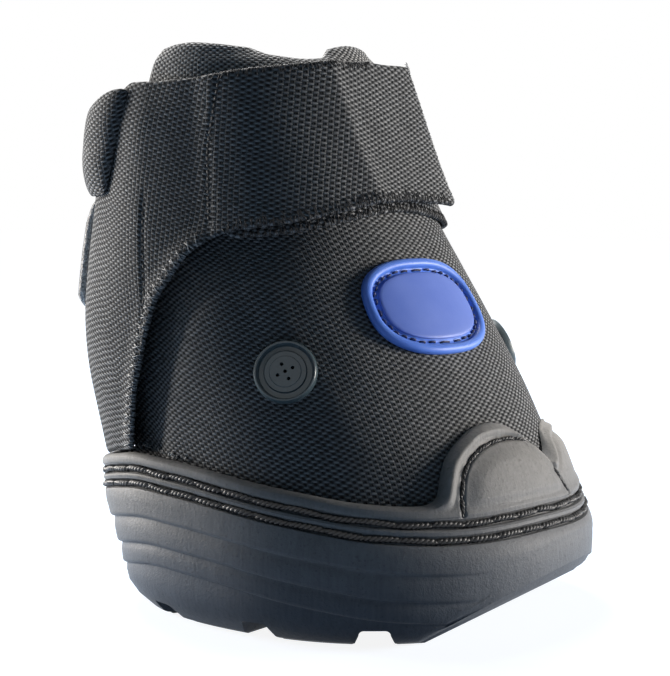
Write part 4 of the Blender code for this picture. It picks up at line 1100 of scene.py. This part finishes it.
def right_outer(turn, height):
    return right_inner(turn, height) + 2.0 * MM


def right_low(turn):
    return wing_low(turn) + corner(turn, STRAP_END, 3.4 * MM) * (turn > 0)


def left_inner(turn, height):
    return 0.4 * MM + 0.1 * MM * ease(turn, 90, 100)


def left_outer(turn, height):
    return left_inner(turn, height) + 1.8 * MM


def flap_corner(turn):
    return corner(turn, FLAP_END, 3.4 * MM) * (turn < 0)


def left_low(turn):
    return wing_low(turn) - 1.4 * MM * ease(-np.abs(turn), -92, -84) + flap_corner(turn)


def left_high(turn):
    return wing_top(turn) - flap_corner(turn)


right = panel("right_wing_and_strap", (-WING_END, STRAP_END), right_low, wing_top, right_inner,
              right_outer, (330, 84), grain=17.0, seam=STRAP_WEAVE)
dress(right, FABRIC, None, ["wing_right", "strap"])
right.data.materials.append(STRAP_FABRIC)
left = panel("left_wing_and_flap", (FLAP_END, WING_END), left_low, left_high, left_inner,
             left_outer, (300, 84), grain=-17.0)
dress(left, FABRIC, None, ["wing_left", "closure_flap"])
for name, turns, lift, count, material, body, node, slot in (
        ("hook_tape_pad", (-34, 21), 3.7, (60, 44), HOOK, "strap_unit", "hook_patch", "hook_tape"),
        ("loop_tape_pad", (-56, 24), 2.4, (80, 44), LOOP, "flap_unit", "loop_patch", "loop_tape")):
    patch = panel(name, turns, lambda t: wing_low(t) + 6 * MM, lambda t: wing_high(t) - 6 * MM,
                  lift * MM, (lift + 1.0) * MM, count)
    dress(patch, material, body, [node])


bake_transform(right)
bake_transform(left)


# Edge stitching
def overlock(name, turns, edge, into, inner_lift, outer_lift, pitch, radius, seed, width, wild):
    """Zigzag thread over a sheet's edge. edge(turn) is its height, into is +1 or -1."""
    rng = np.random.default_rng(seed)
    ts = np.linspace(turns[0], turns[1], 900)
    line = upper(ts, edge(ts))
    length = lengths(line)
    count = int(length[-1] / pitch) * 2
    normals = outward(upper, ts, edge(ts))
    run = unit(np.gradient(line, axis=0))
    inward = np.cross(normals, run)
    inward *= np.sign(inward[:, 2:] * into)
    lifts, backs = outer_lift(ts, edge(ts)), inner_lift(ts, edge(ts))
    share = np.array((1.0, 0.97, 0.6, 0.25, 0.08, 0.0))
    paths, outs = [], []
    for i in range(count):
        at = np.argmin(np.abs(length - (i + 0.5 + rng.uniform(-wild, wild)) * pitch / 2))
        lean = pitch / 2 * (1 if i % 2 else -1) * rng.uniform(0.7, 1.1)
        lean += width * rng.uniform(-wild, wild)
        reach = width * rng.uniform(1 - 1.6 * wild, 1 + wild)
        top = lifts[at]
        rise = np.array((top - 0.45 * MM, top + 0.10 * MM, top + 0.14 * MM, top + 0.08 * MM,
                         top - 0.45 * MM, (top + backs[at]) / 2))
        paths.append(line[at] + inward[at] * (share * reach - 0.10 * MM)[:, None]
                     + run[at] * (share * lean)[:, None] + normals[at] * rise[:, None])
        outs.append(normals[at])
    return tubes(name, paths, outs, radius, 5)


RIGHT, LEFT = (right_inner, right_outer), (left_inner, left_outer)
for name, body, material, turns, edge, into, sheet, pitch, radius, seed, width, wild in (
        ("right_wing_edge", "heel_unit", OVERLOCK, (-111.5, -70), right_low, 1, RIGHT,
         3.3, 0.20, 51, 4.2, 0.1),
        ("strap_edge", "strap_unit", DARK_THREAD, (-64, 24.0), right_low, 1, RIGHT,
         1.5, 0.17, 52, 3.4, 0.4),
        ("strap_top", "strap_unit", DARK_THREAD, (-62, 2.0), wing_top, -1, RIGHT,
         1.3, 0.17, 54, 2.6, 0.4),
        ("left_wing_edge", "heel_unit", OVERLOCK, (70, 111.5), left_low, 1, LEFT,
         2.1, 0.17, 53, 3.9, 0.1),
        ("flap_edge", "flap_unit", DARK_THREAD, (-60, 64), left_low, 1, LEFT,
         1.7, 0.16, 55, 3.0, 0.35)):
    stitches = overlock(f"{name}_stitches", turns, edge, into, *sheet, pitch * MM, radius * MM,
                        seed, width * MM, wild)
    dress(stitches, material, body, ())


def rim_fray():
    """Loose fibres where the front panel meets the rim under the near wing's foot."""
    rng = np.random.default_rng(77)
    s = np.linspace(0, 1, 5)
    paths, outs = [], []
    for _ in range(46):
        at = rng.uniform(-117, -94)
        z = rim(at) + rng.uniform(0.2, 1.3) * MM
        lean = rng.uniform(-1.6, 1.6)
        rise = rng.uniform(0.3, 1.9) * MM
        lift = float(vamp_relief(np.array([at]), np.array([z]))[0])
        paths.append(boot(at + lean * s, z + rise * s,
                          lift + 0.1 * MM + 0.7 * MM * np.sin(math.pi * s)))
        outs.append(outward(upper, np.array(at), np.array(z)))
    return tubes("rim_fray", paths, outs, 0.16 * MM, 5)


dress(rim_fray(), OVERLOCK, "foot_unit", ())


def running(name, heights, turn_at, pitch, radius, share):
    """Running stitches: short dashes up a line on the right wing or the strap."""
    turns = turn_at(heights)
    line = boot(turns, heights, right_outer(turns, heights))
    normals = outward(upper, turns, heights)
    length = lengths(line)
    rise = np.array((-0.35, 0.05, 0.16, 0.16, 0.05, -0.35))[:, None] * MM
    paths, outs = [], []
    for i in range(int(length[-1] / pitch)):
        at = np.linspace(i, i + share, 6) * pitch
        point, out = (np.stack([np.interp(at, length, values[:, k]) for k in range(3)], -1)
                      for values in (line, normals))
        paths.append(point + out * rise)
        outs.append(out)
    return tubes(name, paths, outs, radius, 5)


row = running("wing_seam_stitches", np.linspace(96, 141, 60) * MM, seam_turn,
              3.1 * MM, 0.26 * MM, 0.62)
dress(row, DARK_THREAD, "heel_unit", ())
row = running("strap_step_stitches", np.linspace(133, 180, 60) * MM, step_turn,
              2.3 * MM, 0.42 * MM, 0.7)
dress(row, DARK_THREAD, "strap_unit", ())


def strap_end_fray():
    """Threads over the strap's end, and a few loose ones at its upper corner."""
    rng = np.random.default_rng(88)
    s = np.linspace(0, 1, 5)
    low = float(right_low(np.array([24.0]))[0])
    rise = np.array((-0.55, 0.02, 0.14, 0.12, -0.15)) * MM
    paths, outs = [], []
    for _ in range(95):
        z = rng.uniform(low + 1.5 * MM, wing_high(26.0) - 0.3 * MM)
        tip = rng.uniform(24.6, 26.4)
        lean = rng.uniform(-1.3, 1.3) * MM
        turn = 27.85 + (tip - 27.85) * s
        lift = right_outer(np.minimum(turn, 27.2), z + lean * s)
        paths.append(boot(turn, z + lean * s, lift + rise))
        outs.append(outward(upper, np.array(27.0), np.array(z)))
    for _ in range(9):
        z = wing_high(27.0) - rng.uniform(0, 2.5) * MM
        turn = 26.8 + rng.uniform(0.8, 2.2) * s
        stand = rng.uniform(0.5, 2.2) * MM * s
        lift = right_outer(np.full(5, 26.8), z + 0 * s)
        paths.append(boot(turn, z + stand, lift - 0.2 * MM + 0.4 * MM * np.sin(3 * s)))
        outs.append(outward(upper, np.array(27.0), np.array(z)))
    return tubes("strap_end_fray", paths, outs, 0.16 * MM, 5)


dress(strap_end_fray(), OVERLOCK, "strap_unit", ())


# Pull tab
def tab_layer(name, low_lift, high_lift, inset, material, bull=None):
    """One layer of the pull tab. The upper ones thin out towards its sewn end."""
    def lift_of(value):
        def lift(t, z):
            thins = 2.5 * (1 - np.sqrt(np.clip((TAB_TOP - z) / TAB_CORNER, 0, 1)))
            return (value - (value > 3.5) * thins) * MM
        return lift

    def low(t):
        return TAB_LOW + corner(np.abs(wrap(t)), TAB_TURN, TAB_CORNER) + inset * MM

    obj = panel(name, (TAB_TURN + inset, 360 - TAB_TURN - inset), low, TAB_TOP,
                lift_of(low_lift), lift_of(high_lift), (70, 34), bull)
    return dress(obj, material, "tab_unit", ())


tab_layer("tab_inner_cloth", 2.6, 3.15, 0.0, FABRIC)
tab_core = tab_layer("tab_foam", 3.1, 6.5, 0.0, LAMINATE, 1.7 * MM)
tab_layer("tab_outer_cloth", 6.3, 6.8, 1.5, FABRIC)
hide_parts("pull_tab")

# Vents
VENT_PROFILE = (
    (2.0, 1.88), (4.6, 1.80), (5.1, 1.74), (5.3, 1.50), (5.6, 1.46), (6.5, 1.50), (6.8, 1.42),
    (6.95, 1.1), (7.1, 0.6), (7.5, 0.42), (8.7, 0.42), (8.95, 0.7), (9.1, 1.6), (9.3, 2.3),
    (9.6, 2.6), (9.95, 2.55), (10.2, 2.1), (10.42, 1.2), (10.5, 0.6), (10.45, 0.05),
    (10.2, 0.0), (4.6, 0.0), (4.6, -6.9), (3.6, -6.9), (3.6, 0.3))
VENT_FACE, VENT_INSIDE = 1.9 * MM, 0.3 * MM


def pinhole(x, y):
    bm = bmesh.new()
    bmesh.ops.create_cone(bm, cap_ends=True, segments=14, radius1=0.62 * MM,
                          radius2=0.62 * MM, depth=8 * MM)
    mesh = bpy.data.meshes.new("pin")
    bm.to_mesh(mesh)
    bm.free()
    pin = place_in_scene("pin", mesh)
    pin.data.transform(Matrix.Translation((x, y, 1.5 * MM)))
    return pin


def make_vent(side):
    """A turned cap with a ring, a disc with five pinholes, and a hollow stem."""
    angle = np.linspace(0, 2 * math.pi, 72, endpoint=False)
    rings = [np.stack((np.cos(angle) * r, np.sin(angle) * r, 0 * angle + h), -1) * MM
             for r, h in VENT_PROFILE]
    name = "right" if side < 0 else "left"
    obj = closed_body(f"vent_{name}", rings, ((0, 0, VENT_FACE), (0, 0, VENT_INSIDE)))
    around = [math.radians(d) for d in (28, 118, 208, 298)]
    holes = [(0, 0)] + [(2.7 * MM * math.cos(a), 2.7 * MM * math.sin(a)) for a in around]
    cut(obj, [pinhole(x, y) for x, y in holes], 38)
    turn, height = np.array(side * VENT_TURN), np.array(VENT_HEIGHT)
    normal = Vector(outward(upper, turn, height))
    across = UP.cross(normal).normalized()
    place = Vector(boot(turn, height, np.array(GAP)))
    obj.data.transform(placing((across, normal.cross(across), normal), place))
    dress(obj, CAP_RUBBER, "foot_unit", [f"vent_{name}_cap"])


make_vent(-1)
make_vent(1)
for node in ("vent_right_washer", "vent_left_washer"):
    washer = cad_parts[node]
    washer.data.materials.clear()
    washer.data.materials.append(CAP_RUBBER)


# Badge
def badge_point(angle, inset, lift, share=1.0):
    """A point of the badge: inset from its edge, lifted, and drawn to its middle by share."""
    along, up = ((reach - inset) * share * signed_power(wave, 2 / 2.6)
                 for reach, wave in zip(BADGE_REACH, (np.cos(angle), np.sin(angle))))
    here = upper(BADGE_TURN, BADGE_HEIGHT)
    slope = np.linalg.norm(upper(BADGE_TURN, BADGE_HEIGHT + 0.5 * MM) - here) / (0.5 * MM)
    arc = np.linalg.norm(upper(BADGE_TURN + 0.5, BADGE_HEIGHT) - here) / 0.5
    return boot(BADGE_TURN + along / arc, BADGE_HEIGHT + up / slope, lift + 0 * along)


def badge_body(name, before, profile, after):
    """before and after hold (inset, lift, share) rings, profile (inset, lift) ones, in mm."""
    angle = np.linspace(0, 2 * math.pi, 180, endpoint=False)
    rings = [*before, *((inset, lift, 1.0) for inset, lift in profile), *after]
    return closed_body(name, [badge_point(angle, inset * MM, lift * MM, share)
                              for inset, lift, share in rings])


def badge_stitches():
    paths, outs = [], []
    rise = np.array((0.55, 1.15, 1.4, 1.45, 1.4, 1.15, 0.55)) * MM
    for i in range(BADGE_STITCHES):
        at = np.linspace(i, i + 0.66, 7) / BADGE_STITCHES * 2 * math.pi
        paths.append(badge_point(at, 4.4 * MM + 0.18 * MM * math.sin(i * 2.4), rise))
        outs.append(outward(upper, np.array(BADGE_TURN), np.array(BADGE_HEIGHT)))
    return tubes("badge_stitches", paths, outs, 0.40 * MM)


border = badge_body(
    "badge_body", [(0.6, 0.4, s) for s in (0.25, 0.5, 0.75, 0.97)],
    ((0.15, 0.45), (0.0, 0.8), (0.0, 1.3), (0.2, 2.0), (0.6, 2.5), (1.2, 2.78), (1.8, 2.84),
     (2.4, 2.74), (2.9, 2.45), (3.2, 2.0), (3.35, 1.4), (3.5, 0.95), (3.9, 0.8), (4.9, 0.8),
     (5.25, 0.95), (5.4, 1.35)),
    [(5.45, 1.3, s) for s in (0.9, 0.5, 0.1)])
face = badge_body(
    "badge_panel_face", [(5.5, 1.2, s) for s in (0.3, 0.7)],
    ((5.5, 1.15), (5.45, 1.5), (5.6, 1.82), (6.0, 2.02), (6.8, 2.1)),
    [(6.8, 2.1 + 0.18 * (1 - s), s) for s in (0.85, 0.65, 0.45, 0.25, 0.08)])
dress(border, BADGE, "foot_unit", ["badge"])
dress(face, PANEL_BLUE, "foot_unit", ())
dress(badge_stitches(), BADGE_THREAD, "foot_unit", ["badge_thread"])


# Floor, light and camera
def make_floor():
    """A floor that is white to the camera, and slightly darker round the boot."""
    bm = bmesh.new()
    bmesh.ops.create_grid(bm, x_segments=1, y_segments=1, size=3.0)
    mesh = bpy.data.meshes.new("floor")
    bm.to_mesh(mesh)
    bm.free()
    floor = place_in_scene("floor", mesh)
    g = new_graph("pale_floor")
    away = g.node("ShaderNodeVectorMath", operation="LENGTH")
    g.link(g.position(), away.inputs[0])
    glow = g.times(g.seen(), g.remap(away.outputs["Value"], 0.12, 0.50, 0.89, 1.0))
    floor.data.materials.append(g.finish(
        rgb(0.20, 0.29, 0.42), 0.9, Specular_IOR_Level=0.0, Emission_Color=rgb(1, 1, 1),
        Emission_Strength=glow))


def make_world():
    """White to the camera, and a weak blue fill for the boot."""
    world = bpy.data.worlds.new("studio")
    bpy.context.scene.world = world
    g = Graph(world)
    fill = g.tree.nodes["Background"]
    white = g.node("ShaderNodeBackground")
    for back, colour, strength in ((white, rgb(1, 1, 1), 1.0),
                                   (fill, rgb(0.16, 0.55, 0.95), 0.05)):
        back.inputs[0].default_value = colour
        back.inputs[1].default_value = strength
    mix = g.node("ShaderNodeMixShader")
    for socket, source in zip(mix.inputs, (g.seen(), fill.outputs[0], white.outputs[0])):
        g.link(source, socket)
    g.link(mix.outputs[0], g.tree.nodes["World Output"].inputs["Surface"])


def area_light(name, azimuth, distance, height, aim, size, power, colour):
    """A lamp box at an azimuth from the toe, aimed at a height over the middle."""
    data = bpy.data.lights.new(name, "AREA")
    data.shape = "RECTANGLE"
    data.size, data.size_y = size
    data.energy = power
    data.color = colour
    light = place_in_scene(name, data)
    a = math.radians(azimuth)
    light.location = (math.sin(a) * distance, -math.cos(a) * distance, height)
    light.rotation_euler = (Vector((0, 0, aim)) - light.location).to_track_quat("-Z", "Y").to_euler()


make_floor()
make_world()
area_light("right_box", 46, 1.0, 0.13, 0.09, (0.4, 0.5), 19, (1.0, 0.94, 0.87))
area_light("left_box", -166, 1.0, 0.14, 0.09, (0.4, 0.6), 23, (1.0, 0.94, 0.87))
area_light("top_box", 150, 0.7, 1.0, 0.1, (0.5, 0.5), 22, (1.0, 0.98, 0.96))

# The camera that was fitted to the photograph
CAMERA_AT = Vector((-0.5440, -0.4417, 0.152))
CAMERA_AIM = Vector((0, -0.0012, 0.0912))
FOCAL_PIXELS, PHOTO_HEIGHT = 1979, 676
camera_data = bpy.data.cameras.new("camera")
camera_data.sensor_width = 36
camera_data.lens = FOCAL_PIXELS * 36 / PHOTO_HEIGHT
camera_data.clip_start = 0.01
camera = place_in_scene("camera", camera_data)
camera.location = CAMERA_AT
camera.rotation_mode = "QUATERNION"
camera.rotation_quaternion = (CAMERA_AIM - CAMERA_AT).to_track_quat("-Z", "Y")
bpy.context.scene.camera = camera
bpy.context.scene.view_settings.view_transform = "Standard"
